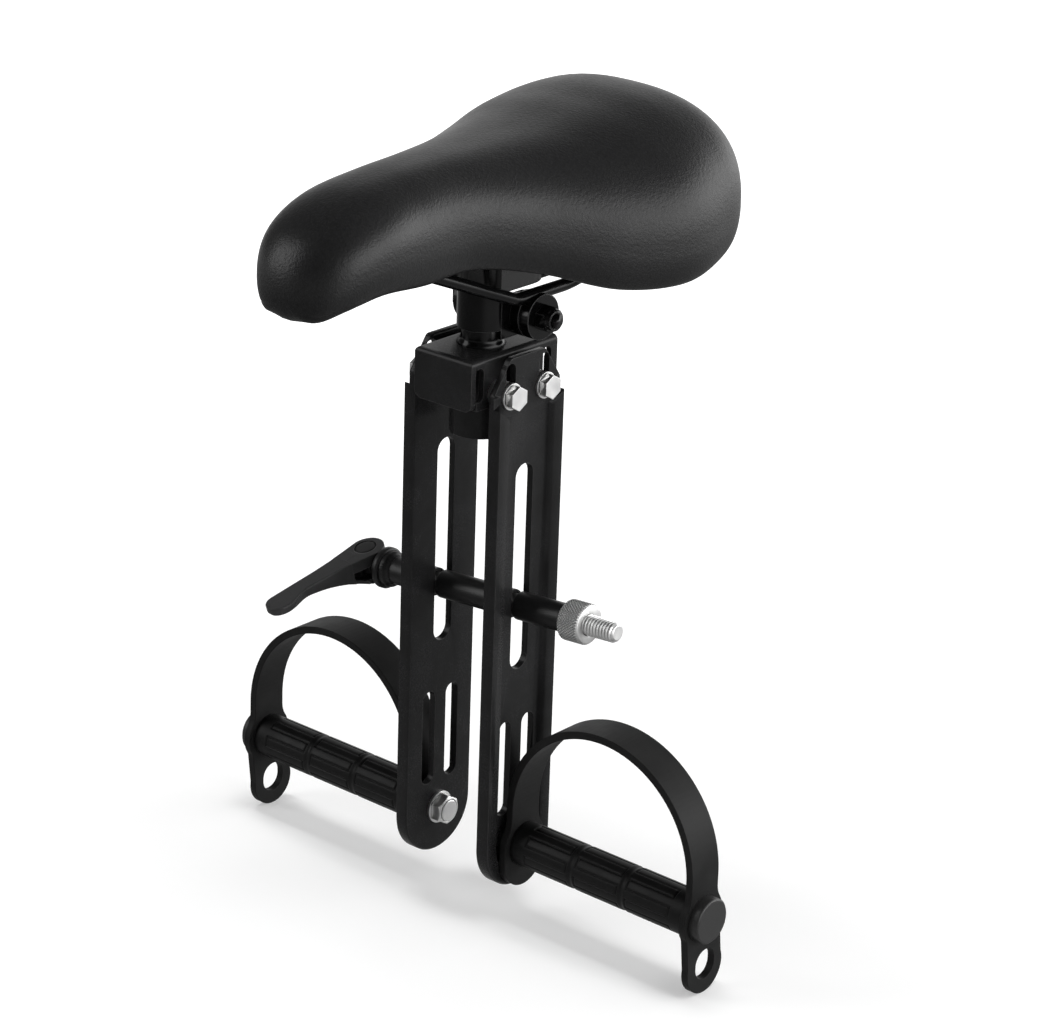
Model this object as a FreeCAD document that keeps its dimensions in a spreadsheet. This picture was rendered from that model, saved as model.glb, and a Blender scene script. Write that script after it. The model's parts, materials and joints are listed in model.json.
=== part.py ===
import FreeCAD, Part
import math
import os
import Sketcher
from FreeCAD import Placement, Rotation, Vector

# Child bike seat that clamps on a bicycle's top tube.
# Millimetres. The origin is the middle of the top tube, +Z is up, the saddle's nose
# points to -Y and +X is the rider's left.
SIZES = {
    # Slotted legs, one each side of the top tube
    "tube_gap": 44.2,
    "leg_width": 45.0,
    "leg_web": 3.5,
    "rim_width": 7.0,
    "rim_rise": 3.5,
    "rim_top": 73.0,
    "rim_slant": 5.5,
    "leg_chamfer": 0.7,
    "tab_shoulder": 79.0,
    "tab_top": 94.5,
    "tab_top_width": 23.5,
    "tab_corner": 3.0,
    "long_slot_width": 12.0,
    "long_slot_low": -59.5,
    "long_slot_high": 42.1,
    "short_slot_width": 8.6,
    "short_slot_spread": 16.0,
    "short_slot_low": -132.6,
    "short_slot_high": -84.4,
    # Top bracket, folded from sheet
    "bracket_width": 34.4,
    "bracket_front": 28.5,
    "bracket_rear": 30.0,
    "bracket_depth": 24.0,
    "bracket_sheet": 3.0,
    "bracket_bend": 2.6,
    "flap_corner": 4.0,
    "flap_slit": 0.8,
    "wall_slot_width": 5.6,
    "wall_slot_length": 16.0,
    "wall_slot_spread": 46.0,
    # Bolts that hold the legs to the bracket
    "leg_bolt_thread": 6.0,
    "leg_bolt_flats": 10.0,
    "leg_bolt_head": 4.2,
    "leg_bolt_spread": 23.0,
    "leg_bolt_height": 77.0,
    "leg_bolt_tip": 1.4,
    "tab_slot_width": 6.6,
    "tab_slot_rise": 12.0,
    "washer_width": 12.4,
    "washer_thickness": 1.4,
    "bolt_play": 0.05,
    # Seat post and the tube it stands in
    "post_back": -3.0,
    "post_diameter": 22.2,
    "post_neck": 19.0,
    "post_taper": 3.0,
    "post_taper_gap": 4.8,
    "post_rise": 0.4,
    "receiver_wall": 2.6,
    "receiver_length": 39.0,
    "post_play": 0.05,
    # Rail clamp on the post's head
    "band_wall": 1.95,
    "band_gap": 7.9,
    "band_height": 18.6,
    "ear_inner": 8.6,
    "ear_sheet": 3.0,
    "cross_bolt_thread": 7.0,
    "cross_bolt_gap": 16.0,
    "cross_bolt_rise": 5.4,
    "cross_bolt_flats": 11.0,
    "cross_head": 4.8,
    "cross_nut_height": 5.5,
    "cross_nut_collar": 2.0,
    "cross_bolt_tip": 1.2,
    "cheek_diameter": 21.4,
    "cheek_width": 5.5,
    "cheek_gap": 0.6,
    # Saddle and its rails
    "rail_diameter": 6.0,
    "rail_rise": 9.7,
    "rail_play": 0.05,
    "rail_flat_front": 0.0,
    "rail_flat_rear": 36.0,
    "rail_nose_spread": 17.0,
    "rail_nose_reach": -78.0,
    "rail_nose_rise": 32.0,
    "rail_tail_spread": 74.0,
    "rail_tail_reach": 80.0,
    "rail_tail_rise": 21.5,
    "rail_bend": 16.0,
    "rail_pocket": 22.0,
    "saddle_nose": -131.7,
    "saddle_length": 246.0,
    "saddle_width": 150.0,
    "saddle_rise": 7.5,
    "saddle_height": 75.0,
    "saddle_belly": 16.0,
    "saddle_tuck": 6.0,
    "saddle_wall": 11.0,
    "saddle_recess": 13.0,
    "base_thickness": 8.0,
    "base_play": 0.3,
    "boss_width": 26.0,
    "boss_front": -16.0,
    "boss_rear": 38.0,
    "boss_gap": 0.6,
    # Clamp rod with its sleeves, knurled nut and cam lever
    "rod_drop": 29.5,
    "rod_tilt": 3.9,
    "rod_diameter": 10.0,
    "rod_neck": 7.0,
    "rod_end": 84.0,
    "sleeve_diameter": 13.5,
    "sleeve_play": 0.05,
    "slide_play": 0.2,
    "left_sleeve_end": 55.0,
    "right_sleeve_end": 51.0,
    "nut_diameter": 18.6,
    "nut_length": 11.0,
    "nut_boss": 15.0,
    "nut_boss_length": 2.0,
    "nut_chamfer": 1.0,
    "collar_diameter": 17.2,
    "collar_step": 14.6,
    "collar_length": 5.0,
    "thrust_diameter": 20.0,
    "thrust_thickness": 4.0,
    "lever_tilt": 16.0,
    "lever_swing": 10.0,
    "lever_reach": 60.0,
    "lever_height": 15.0,
    "lever_lift": 1.35,
    "lever_arm_width": 11.0,
    "lever_waist": 9.4,
    "lever_waist_round": 9.0,
    "lever_paddle": 13.4,
    "lever_tip_round": 6.4,
    "lever_tip_thickness": 4.0,
    "lever_arm_thickness": 4.8,
    "lever_hub": 6.0,
    "lever_sweep": 20.0,
    "lever_pocket_reach": 19.0,
    "lever_pocket_height": 6.4,
    "lever_pocket_floor": 1.5,
    "cam_radius": 8.6,
    "cam_offset": 1.0,
    "cam_play": 0.3,
    "pin_diameter": 10.8,
    "pin_play": 0.06,
    "fork_play": 0.3,
    # Foot pegs and straps
    "peg_drop": 147.0,
    "peg_spacer_width": 20.0,
    "peg_spacer_thickness": 4.0,
    "peg_length": 103.6,
    "peg_core_diameter": 15.0,
    "peg_core_play": 0.05,
    "grip_diameter": 21.8,
    "grip_collar": 6.0,
    "grip_band": 2.6,
    "grip_groove": 1.2,
    "grip_groove_depth": 0.7,
    "grip_pads": 10.0,
    "strap_thickness": 3.6,
    "strap_width": 19.0,
    "strap_height": 75.0,
    "strap_eye_width": 27.4,
    "strap_flare": 12.0,
    "strap_foot": 8.0,
    "strap_tail": 26.5,
    "strap_tail_width": 25.0,
    "strap_tail_lean": 3.0,
    "strap_neck": 24.2,
    "strap_neck_round": 5.0,
    "strap_hole_rise": 2.0,
    "strap_hole_width": 13.5,
    "strap_hole_length": 15.0,
    "peg_bolt_thread": 8.0,
    "peg_bolt_head_width": 14.0,
    "peg_bolt_head_height": 3.0,
    "peg_bolt_play": 0.2,
    "peg_cap_diameter": 22.0,
    "peg_cap_thickness": 5.2,
    "peg_cap_chamfer": 0.9,
    "peg_nut_flats": 13.0,
    "peg_nut_height": 6.0,
    "peg_nut_dome": 2.0,
    "peg_washer_width": 16.0,
    "peg_washer_thickness": 1.6,
    "peg_bolt_tip": 1.0,
}

doc = FreeCAD.newDocument("ChildBikeSeat")
sheet = doc.addObject("Spreadsheet::Sheet", "Sizes")
for row, (alias, value) in enumerate(SIZES.items(), 1):
    sheet.set(f"A{row}", alias)
    sheet.set(f"B{row}", str(value))
    sheet.setAlias(f"B{row}", alias)
doc.recompute()


class Size:
    """A length that knows its value and the sheet expression that gives it."""

    def __init__(self, text, value):
        self.text = text
        self.value = value

    def __float__(self):
        return float(self.value)

    def __neg__(self):
        return Size(f"-({self.text})", -self.value)

    def __add__(self, other):
        return Size(f"({self.text} + {text(other)})", self.value + number(other))

    def __radd__(self, other):
        return Size(f"({text(other)} + {self.text})", number(other) + self.value)

    def __sub__(self, other):
        return Size(f"({self.text} - {text(other)})", self.value - number(other))

    def __rsub__(self, other):
        return Size(f"({text(other)} - {self.text})", number(other) - self.value)

    def __mul__(self, other):
        return Size(f"({self.text} * {text(other)})", self.value * number(other))

    def __rmul__(self, other):
        return Size(f"({text(other)} * {self.text})", number(other) * self.value)

    def __truediv__(self, other):
        return Size(f"({self.text} / {text(other)})", self.value / number(other))


def number(size):
    return float(size)


def text(size):
    return size.text if isinstance(size, Size) else f"({size})"


def tangent(angle):
    return Size(f"tan({angle.text} * 1 deg)", math.tan(math.radians(angle.value)))


class Sheet:
    """The driving sizes by name."""

    def __getattr__(self, alias):
        return Size(f"Sizes.{alias}", float(sheet.get(alias)))


d = Sheet()
SIDES = {"left": 1, "right": -1}
ALONG_X = Rotation(Vector(0, 1, 0), 90)
AGAINST_X = Rotation(Vector(0, 1, 0), -90)
HALF_TURN = Rotation(Vector(0, 0, 1), 180)
NO_TURN = Rotation()
ROOT_3 = math.sqrt(3)
parts = {}


# Drawing and feature helpers

def keep(label, item):
    """Name a finished sub-part."""
    item.Label = label
    parts[label] = item
    return item


def place(item, x=0, y=0, z=0, rotation=NO_TURN):
    item.Placement = Placement(Vector(), rotation)
    for axis, size in zip("xyz", (x, y, z)):
        item.setExpression("Placement.Base." + axis, text(size))
    return item


def new_body(label):
    return keep(label, doc.addObject("PartDesign::Body", label))


def sketch_on(body, name, plane, offset=0):
    sketch = body.newObject("Sketcher::SketchObject", f"{body.Label}_{name}")
    origin = next(item for item in body.Origin.OriginFeatures if item.Role == plane)
    sketch.AttachmentSupport = [(origin, "")]
    sketch.MapMode = "FlatFace"
    sketch.setExpression("AttachmentOffset.Base.z", text(offset))
    return sketch


def pin(sketch, geometry, point, kind, size):
    """Fix one coordinate of a sketch point."""
    if isinstance(size, Size):
        constraint = Sketcher.Constraint(kind, -1, 1, geometry, point, number(size))
        index = sketch.addConstraint(constraint)
        sketch.setExpression(f"Constraints[{index}]", size.text)
    else:
        axis = -2 if kind == "DistanceX" else -1
        sketch.addConstraint(Sketcher.Constraint("PointOnObject", geometry, point, axis))


def trace(sketch, corners):
    """Close an outline. A corner is (u, v), or (u, v, centre, turn) where an arc starts."""
    first = sketch.GeometryCount
    count = len(corners)

    def flat(corner):
        return Vector(number(corner[0]), number(corner[1]), 0)

    def ends(corner):
        return (2, 1) if len(corner) > 2 and corner[3] < 0 else (1, 2)

    for i, corner in enumerate(corners):
        start, end = flat(corner), flat(corners[(i + 1) % count])
        if len(corner) == 2:
            sketch.addGeometry(Part.LineSegment(start, end))
            continue
        centre = flat(corner[2])
        if corner[3] < 0:
            start, end = end, start
        angles = [math.atan2(p.y - centre.y, p.x - centre.x) for p in (start, end)]
        if angles[1] <= angles[0]:
            angles[1] += 2 * math.pi
        circle = Part.Circle(centre, Vector(0, 0, 1), (start - centre).Length)
        sketch.addGeometry(Part.ArcOfCircle(circle, *angles))
    for i, corner in enumerate(corners):
        following = (i + 1) % count
        start, end = ends(corner)
        next_start = ends(corners[following])[0]
        joint = Sketcher.Constraint("Coincident", first + i, end, first + following, next_start)
        sketch.addConstraint(joint)
        pin(sketch, first + i, start, "DistanceX", corner[0])
        pin(sketch, first + i, start, "DistanceY", corner[1])
        if len(corner) > 2:
            chord = flat(corners[following]) - flat(corner)
            level = abs(chord.x) > abs(chord.y)
            kind, size = ("DistanceY", corner[2][1]) if level else ("DistanceX", corner[2][0])
            pin(sketch, first + i, 3, kind, size)


def slot(sketch, middle, low, high, width):
    """An upright slot with round ends."""
    half = width / 2
    bottom = low + half
    top = high - half
    trace(sketch, [
        (middle - half, bottom, (middle, bottom), 1),
        (middle + half, bottom),
        (middle + half, top, (middle, top), 1),
        (middle - half, top),
    ])


def rectangle(sketch, left, low, right, high):
    trace(sketch, [(left, low), (right, low), (right, high), (left, high)])


def round_hole(sketch, u, v, diameter):
    centre = Vector(number(u), number(v), 0)
    index = sketch.addGeometry(Part.Circle(centre, Vector(0, 0, 1), number(diameter) / 2))
    pin(sketch, index, 3, "DistanceX", u)
    pin(sketch, index, 3, "DistanceY", v)
    size = sketch.addConstraint(Sketcher.Constraint("Diameter", index, number(diameter)))
    sketch.setExpression(f"Constraints[{size}]", diameter.text)


def pad(body, sketch, length, both_ways=False, backwards=False):
    feature = body.newObject("PartDesign::Pad", sketch.Name + "_pad")
    feature.Profile = sketch
    feature.setExpression("Length", text(length))
    feature.SideType = "Symmetric" if both_ways else "One side"
    feature.Reversed = backwards
    return feature


def pocket(body, sketch, length=None, both_ways=False, forwards=True):
    """Cut along the sketch's normal, through everything unless a length is given."""
    doc.recompute()
    before = body.Shape.Volume
    feature = body.newObject("PartDesign::Pocket", sketch.Name + "_cut")
    feature.Profile = sketch
    feature.SideType = "Symmetric" if both_ways else "One side"
    feature.Reversed = forwards and not both_ways
    if length is None:
        feature.Type = "ThroughAll"
    else:
        feature.setExpression("Length", text(length))
    doc.recompute()
    if body.Shape.Volume >= before:
        raise RuntimeError(f"{sketch.Name} cuts nothing")
    return feature


def dress(body, kind, size_name, size, wanted):
    """Dress the edges of the body that the test picks."""
    doc.recompute()
    base = body.Tip
    edges = [f"Edge{i}" for i, edge in enumerate(base.Shape.Edges, 1) if wanted(edge)]
    feature = body.newObject(f"PartDesign::{kind}", f"{base.Name}_{kind.lower()}")
    feature.Base = (base, edges)
    feature.setExpression(size_name, text(size))
    return feature


def fillet(body, radius, wanted):
    return dress(body, "Fillet", "Radius", radius, wanted)


def chamfer(body, size, wanted):
    return dress(body, "Chamfer", "Size", size, wanted)


def turned(label, corners, x=0, y=0, z=0, rotation=NO_TURN):
    """A turned piece: corners are (along, radius), revolved about the local X axis."""
    body = new_body(label)
    sketch = sketch_on(body, "profile", "XZ_Plane")
    trace(sketch, corners)
    spin = body.newObject("PartDesign::Revolution", f"{label}_spin")
    spin.Profile = sketch
    spin.ReferenceAxis = (sketch, ["H_Axis"])
    spin.Angle = 360
    return place(body, x, y, z, rotation)


def ring(start, end, inner, outer):
    """Profile of a plain tube."""
    return [(start, inner), (end, inner), (end, outer), (start, outer)]


def cylinder(name, radius, height, x=0, y=0, z=0, rotation=NO_TURN):
    item = doc.addObject("Part::Cylinder", name)
    item.setExpression("Radius", text(radius))
    item.setExpression("Height", text(height))
    return place(item, x, y, z, rotation)


def hexagon(name, flats, height, x=0, y=0, z=0, rotation=NO_TURN):
    item = doc.addObject("Part::Prism", name)
    item.Polygon = 6
    item.setExpression("Circumradius", text(flats / ROOT_3))
    item.setExpression("Height", text(height))
    return place(item, x, y, z, rotation)


def box(name, length, width, height, x=0, y=0, z=0):
    item = doc.addObject("Part::Box", name)
    for side, size in (("Length", length), ("Width", width), ("Height", height)):
        item.setExpression(side, text(size))
    return place(item, x, y, z)


def fuse(name, *items):
    item = doc.addObject("Part::MultiFuse", name)
    item.Shapes = list(items)
    item.Refine = True
    return item


def cut(name, base, tool):
    item = doc.addObject("Part::Cut", name)
    item.Base = base
    item.Tool = tool
    return item


def group(label, items):
    item = doc.addObject("Part::Compound", label)
    item.Links = items
    return keep(label, item)


def edge_middle(edge):
    return edge.valueAt((edge.FirstParameter + edge.LastParameter) / 2)


def near(a, b):
    return abs(a - number(b)) < 0.01


# Places that several pieces share

inner_face = d.tube_gap / 2
web_face = inner_face + d.leg_web
rim_face = web_face + d.rim_rise
wall_face = d.bracket_width / 2
wall_back = wall_face - d.bracket_sheet
strap_start = web_face + d.peg_spacer_thickness
grip_start = strap_start + d.strap_thickness
grip_end = grip_start + d.peg_length
strap_end = grip_end + d.strap_thickness
cross_bolt_back = d.post_back + d.cross_bolt_gap
band_bottom = d.tab_top + d.band_gap
post_head = band_bottom + d.band_height + d.post_rise
cross_bolt_height = band_bottom + d.cross_bolt_rise
rail_height = cross_bolt_height + d.rail_rise
saddle_rim = rail_height + d.saddle_rise
bolt_places = [(side, end) for side in SIDES.values() for end in (-1, 1)]


# Legs

def make_leg(label, rotation):
    """Slotted plate with a raised rim round its outer face and a bevelled tab on top."""
    body = new_body(label)
    half = d.leg_width / 2
    inner = half - d.rim_width
    foot = -d.peg_drop
    outline = sketch_on(body, "outline", "YZ_Plane", inner_face)
    trace(outline, [
        (-half, foot, (0, foot), 1),
        (half, foot),
        (half, d.tab_shoulder),
        (d.tab_top_width / 2, d.tab_top),
        (-d.tab_top_width / 2, d.tab_top),
        (-half, d.tab_shoulder),
    ])
    pad(body, outline, d.leg_web)

    def tab_corner(edge):
        middle = edge_middle(edge)
        upright = near(edge.BoundBox.XLength, d.leg_web)
        return upright and middle.z > number(d.tab_shoulder) - 0.01

    fillet(body, d.tab_corner, tab_corner)
    rim = sketch_on(body, "rim", "YZ_Plane", inner_face)
    low = d.rim_top - d.rim_slant
    trace(rim, [
        (-half, foot, (0, foot), 1),
        (half, foot),
        (half, d.rim_top),
        (inner, low),
        (inner, foot, (0, foot), -1),
        (-inner, foot),
        (-inner, low),
        (-half, d.rim_top),
    ])
    pad(body, rim, d.leg_web + d.rim_rise)

    def outer_edge(edge):
        bounds = edge.BoundBox
        outside = near(bounds.YMax, half) or near(bounds.YMin, -half)
        flat = bounds.XLength < 0.01
        long = bounds.ZLength > number(d.leg_width) / 3
        return outside and flat and long

    chamfer(body, d.leg_chamfer, outer_edge)
    cuts = sketch_on(body, "slots", "YZ_Plane", inner_face)
    slot(cuts, 0, d.long_slot_low, d.long_slot_high, d.long_slot_width)
    tab_slot_low = d.leg_bolt_height - d.tab_slot_width / 2
    tab_slot_high = tab_slot_low + d.tab_slot_width + d.tab_slot_rise
    for end in (-1, 1):
        middle = end * d.short_slot_spread / 2
        slot(cuts, middle, d.short_slot_low, d.short_slot_high, d.short_slot_width)
        slot(cuts, end * d.leg_bolt_spread / 2, tab_slot_low, tab_slot_high, d.tab_slot_width)
    round_hole(cuts, 0, foot, d.peg_bolt_thread + 2 * d.peg_bolt_play)
    pocket(body, cuts)
    place(body, rotation=rotation)


make_leg("left_leg", NO_TURN)
make_leg("right_leg", HALF_TURN)


# Top bracket

def make_bracket():
    """Sheet folded down at the front and both sides, open behind and below."""
    body = new_body("top_bracket")
    front = -d.bracket_front
    bottom = d.tab_top - d.bracket_depth
    under = d.tab_top - d.bracket_sheet
    wall_front = front + d.bracket_sheet + d.flap_slit
    corner = d.flap_corner
    top = sketch_on(body, "top", "XY_Plane", under)
    rectangle(top, -wall_face, front, wall_face, d.bracket_rear)
    pad(body, top, d.bracket_sheet)
    flap = sketch_on(body, "front_flap", "XZ_Plane", -front)
    trace(flap, [
        (corner - wall_face, bottom),
        (wall_face - corner, bottom, (wall_face - corner, bottom + corner), 1),
        (wall_face, bottom + corner),
        (wall_face, d.tab_top),
        (-wall_face, d.tab_top),
        (-wall_face, bottom + corner, (corner - wall_face, bottom + corner), 1),
    ])
    pad(body, flap, d.bracket_sheet, backwards=True)
    walls = sketch_on(body, "side_walls", "YZ_Plane", -wall_face)
    trace(walls, [
        (wall_front, bottom),
        (d.bracket_rear - corner, bottom, (d.bracket_rear - corner, bottom + corner), 1),
        (d.bracket_rear, bottom + corner),
        (d.bracket_rear, d.tab_top),
        (wall_front, d.tab_top),
    ])
    pad(body, walls, d.bracket_width)

    def folded(edge):
        bounds = edge.BoundBox
        on_top = near(bounds.ZMin, d.tab_top) and near(bounds.ZMax, d.tab_top)
        middle = edge_middle(edge)
        return on_top and middle.y < number(d.bracket_rear) - 0.01

    fillet(body, d.bracket_bend, folded)
    hollow = sketch_on(body, "hollow", "XY_Plane", under)
    beyond = d.bracket_rear + d.bracket_sheet
    rectangle(hollow, -wall_back, front + d.bracket_sheet, wall_back, beyond)
    pocket(body, hollow, forwards=False)
    holes = sketch_on(body, "holes", "YZ_Plane", -d.bracket_width)
    bolt_hole = d.leg_bolt_thread + 2 * d.bolt_play
    low = d.tab_top - (d.bracket_depth + d.wall_slot_length) / 2
    high = low + d.wall_slot_length
    for end in (-1, 1):
        round_hole(holes, end * d.leg_bolt_spread / 2, d.leg_bolt_height, bolt_hole)
        slot(holes, end * d.wall_slot_spread / 2, low, high, d.wall_slot_width)
    pocket(body, holes)
    bore = sketch_on(body, "post_hole", "XY_Plane", bottom)
    round_hole(bore, 0, d.post_back, d.post_diameter + 2 * d.post_play)
    pocket(body, bore)


make_bracket()


# Bolts that hold the legs, with their washers and spacers

def make_leg_fasteners():
    """Hex bolts through the legs' tabs into tapped holes in the bracket's side walls."""
    bolts, washers, spacers = [], [], []
    head_face = web_face + d.washer_thickness
    tip = wall_back - d.leg_bolt_tip
    hole = d.leg_bolt_thread / 2 + d.bolt_play
    for side, end in bolt_places:
        tag = f"{'left' if side > 0 else 'right'}_{'rear' if end > 0 else 'front'}"
        at = {
            "y": end * d.leg_bolt_spread / 2,
            "z": d.leg_bolt_height,
            "rotation": ALONG_X if side > 0 else AGAINST_X,
        }
        head = hexagon(f"head_{tag}", d.leg_bolt_flats, d.leg_bolt_head, side * head_face, **at)
        shank = cylinder(f"shank_{tag}", d.leg_bolt_thread / 2, head_face - tip, side * tip, **at)
        bolts.append(fuse(f"bolt_{tag}", head, shank))
        for name, kept, start, width, radius in (
            ("washer", washers, web_face, d.washer_thickness, d.washer_width / 2),
            ("spacer", spacers, wall_face, inner_face - wall_face, d.washer_width / 2),
        ):
            disc = cylinder(f"{name}_disc_{tag}", radius, width, side * start, **at)
            bore = cylinder(f"{name}_bore_{tag}", hole, width, side * start, **at)
            kept.append(cut(f"{name}_{tag}", disc, bore))
    group("leg_bolts", bolts)
    group("leg_washers", washers)
    group("leg_spacers", spacers)


make_leg_fasteners()


# Seat post and receiver tube

UPRIGHT = Rotation(Vector(0, 1, 0), -90)


def make_post():
    """Post that steps down to a neck for the rail clamp, in a tube under the bracket."""
    under = d.tab_top - d.bracket_sheet
    foot = under - d.receiver_length
    radius = d.post_diameter / 2
    neck_start = band_bottom - d.post_taper_gap
    turned("seat_post", [
        (foot, 0),
        (post_head, 0),
        (post_head, d.post_neck / 2),
        (neck_start, d.post_neck / 2),
        (neck_start - d.post_taper, radius),
        (foot, radius),
    ], y=d.post_back, rotation=UPRIGHT)
    bore = radius + d.post_play
    wall = ring(foot, under, bore, bore + d.receiver_wall)
    turned("receiver_tube", wall, y=d.post_back, rotation=UPRIGHT)


make_post()


# Rail clamp

def make_rail_clamp():
    """Band round the post's head, with ears that the cross bolt draws together."""
    inner = d.post_neck / 2 + d.post_play
    ear_face = d.ear_inner + d.ear_sheet
    bolt_hole = d.cross_bolt_thread / 2 + d.bolt_play
    at = {"y": cross_bolt_back, "z": cross_bolt_height}
    round_post = {"y": d.post_back}
    sleeve = cylinder("band_sleeve", inner + d.band_wall, d.band_height, z=band_bottom, **round_post)
    ears = []
    ear_half = d.cheek_diameter / 2 - 1
    for side in (-1, 1):
        start = d.ear_inner if side > 0 else -ear_face
        ears.append(box(f"ear_{side + 1}", d.ear_sheet, cross_bolt_back - d.post_back, 2 * ear_half,
                        start, d.post_back, cross_bolt_height - ear_half))
        ears.append(cylinder(f"ear_end_{side + 1}", ear_half, d.ear_sheet, start, rotation=ALONG_X, **at))
    body = fuse("band_body", sleeve, *ears)
    below = band_bottom - d.band_height / 2
    bore = cylinder("band_bore", inner, d.band_height * 2, z=below, **round_post)
    bolt_bore = cylinder("band_bolt_bore", bolt_hole, 2 * ear_face, -ear_face, rotation=ALONG_X, **at)
    keep("rail_clamp_band", cut("rail_clamp_band", body, fuse("band_bores", bore, bolt_bore)))

    rail_line = ear_face + d.cheek_width
    groove = d.rail_diameter / 2 + d.rail_play
    inner_cheeks, outer_cheeks = [], []
    for side in (-1, 1):
        outwards = ALONG_X if side > 0 else AGAINST_X
        for kept, name, start, width in (
            (inner_cheeks, "inner", ear_face, d.cheek_width - d.cheek_gap / 2),
            (outer_cheeks, "outer", rail_line + d.cheek_gap / 2, d.cheek_width - d.cheek_gap / 2),
        ):
            tag = f"{name}_{side + 1}"
            across = {"x": side * start, "rotation": outwards, **at}
            disc = cylinder(f"cheek_disc_{tag}", d.cheek_diameter / 2, width, **across)
            hole = cylinder(f"cheek_hole_{tag}", bolt_hole, width, **across)
            channel = cylinder(f"cheek_channel_{tag}", groove, 4 * d.cheek_diameter, side * rail_line,
                               2 * d.cheek_diameter, rail_height, Rotation(Vector(1, 0, 0), 90))
            kept.append(cut(f"cheek_{tag}", disc, fuse(f"cheek_cuts_{tag}", hole, channel)))
    group("inner_rail_cheeks", inner_cheeks)
    group("outer_rail_cheeks", outer_cheeks)

    outer_face = rail_line + d.cheek_width
    nut_height = d.cross_nut_height + d.cross_nut_collar
    length = 2 * outer_face + nut_height + d.cross_bolt_tip
    flats = d.cross_bolt_flats
    head = hexagon("cross_head", flats, d.cross_head, -outer_face, rotation=AGAINST_X, **at)
    at["rotation"] = ALONG_X
    shank = cylinder("cross_shank", d.cross_bolt_thread / 2, length, -outer_face, **at)
    keep("cross_bolt", fuse("cross_bolt", head, shank))
    nut = hexagon("cross_nut_hex", flats, d.cross_nut_height, outer_face, **at)
    collar = cylinder("cross_nut_collar", flats / 2 - d.cheek_gap, nut_height, outer_face, **at)
    nut_bore = cylinder("cross_nut_bore", bolt_hole, nut_height, outer_face, **at)
    keep("cross_nut", cut("cross_nut", fuse("cross_nut_body", nut, collar), nut_bore))


make_rail_clamp()


# Saddle

def rail_wire():
    """Centre line of the one-piece rail wire, straight runs joined by tangent arcs."""
    ear_face = d.ear_inner + d.ear_sheet
    line = number(ear_face + d.cheek_width)
    height = number(rail_height)
    nose = number(d.rail_nose_spread) / 2
    tail = number(d.rail_tail_spread) / 2
    half = [
        Vector(tail, number(d.rail_tail_reach), number(rail_height + d.rail_tail_rise)),
        Vector(line, number(d.rail_flat_rear), height),
        Vector(line, number(d.rail_flat_front), height),
        Vector(nose, number(d.rail_nose_reach), number(rail_height + d.rail_nose_rise)),
    ]
    points = half + [Vector(-p.x, p.y, p.z) for p in reversed(half)]
    return rounded_wire(points, number(d.rail_bend), nose)


def rounded_wire(points, bend, tightest):
    edges = []
    last = points[0]
    for before, corner, after in zip(points, points[1:], points[2:]):
        back = (before - corner).normalize()
        ahead = (after - corner).normalize()
        half_turn = back.getAngle(ahead) / 2
        nearest = min((before - corner).Length, (after - corner).Length)
        most = 0.48 * nearest
        step = min(bend / math.tan(half_turn), most, max(tightest / math.tan(half_turn), most))
        start = corner + back * step
        end = corner + ahead * step
        radius = step * math.tan(half_turn)
        bisector = (back + ahead).normalize()
        centre = corner + bisector * (radius / math.sin(half_turn))
        top = centre - bisector * radius
        edges.append(Part.LineSegment(last, start).toShape())
        edges.append(Part.Arc(start, top, end).toShape())
        last = end
    edges.append(Part.LineSegment(last, points[-1]).toShape())
    return Part.Wire(edges)


def tube_along(wire, radius):
    start = wire.Edges[0].Vertexes[0].Point
    direction = wire.Edges[0].tangentAt(wire.Edges[0].FirstParameter)
    section = Part.Wire([Part.Circle(start, direction, radius).toShape()])
    return wire.makePipeShell([section], True, False)


# Saddle stations from nose to rear, evenly spaced round a half circle over the length: the
# half-width, rim height and crown height as shares of half the saddle's width and of its height
STATIONS = [
    (0.020, 0.270, 0.290),
    (0.233, 0.140, 0.515),
    (0.364, 0.188, 0.668),
    (0.413, 0.236, 0.777),
    (0.413, 0.217, 0.831),
    (0.440, 0.232, 0.853),
    (0.587, 0.150, 0.867),
    (0.830, 0.018, 0.897),
    (0.989, 0.000, 0.952),
    (0.977, 0.060, 0.995),
    (0.880, 0.160, 0.973),
    (0.613, 0.273, 0.840),
    (0.030, 0.540, 0.560),
]
LAST_STATION = len(STATIONS) - 1
HOLLOW_STATIONS = range(2, LAST_STATION - 1)
CROWN_POWER = 2.4
CROWN_STEPS = 16
BELLY_SHARE = 0.36
TUCK_SHARE = 0.55


def station_size(index):
    """Place along Y, half-width, rim height and crown height of one station."""
    width, rim, crown = STATIONS[index]
    along = (1 - math.cos(math.pi * index / LAST_STATION)) / 2
    low = number(saddle_rim)
    height = number(d.saddle_height)
    return (
        number(d.saddle_nose) + along * number(d.saddle_length),
        width * number(d.saddle_width) / 2,
        low + rim * height,
        low + crown * height,
    )


def crown_section(index):
    """Closed section: a rounded crown over a belly that tucks in to the rim."""
    y, half, rim, crown = station_size(index)
    belly = rim + min(number(d.saddle_belly), BELLY_SHARE * (crown - rim))
    foot = half - min(number(d.saddle_tuck), TUCK_SHARE * half)
    points = [Vector(foot, y, rim)]
    for step in range(CROWN_STEPS + 1):
        angle = math.pi * step / CROWN_STEPS
        across = math.copysign(abs(math.cos(angle)) ** (2 / CROWN_POWER), math.cos(angle))
        up = math.sin(angle) ** (2 / CROWN_POWER) if 0 < step < CROWN_STEPS else 0
        points.append(Vector(half * across, y, belly + (crown - belly) * up))
    points.append(Vector(-foot, y, rim))
    return points


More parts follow.
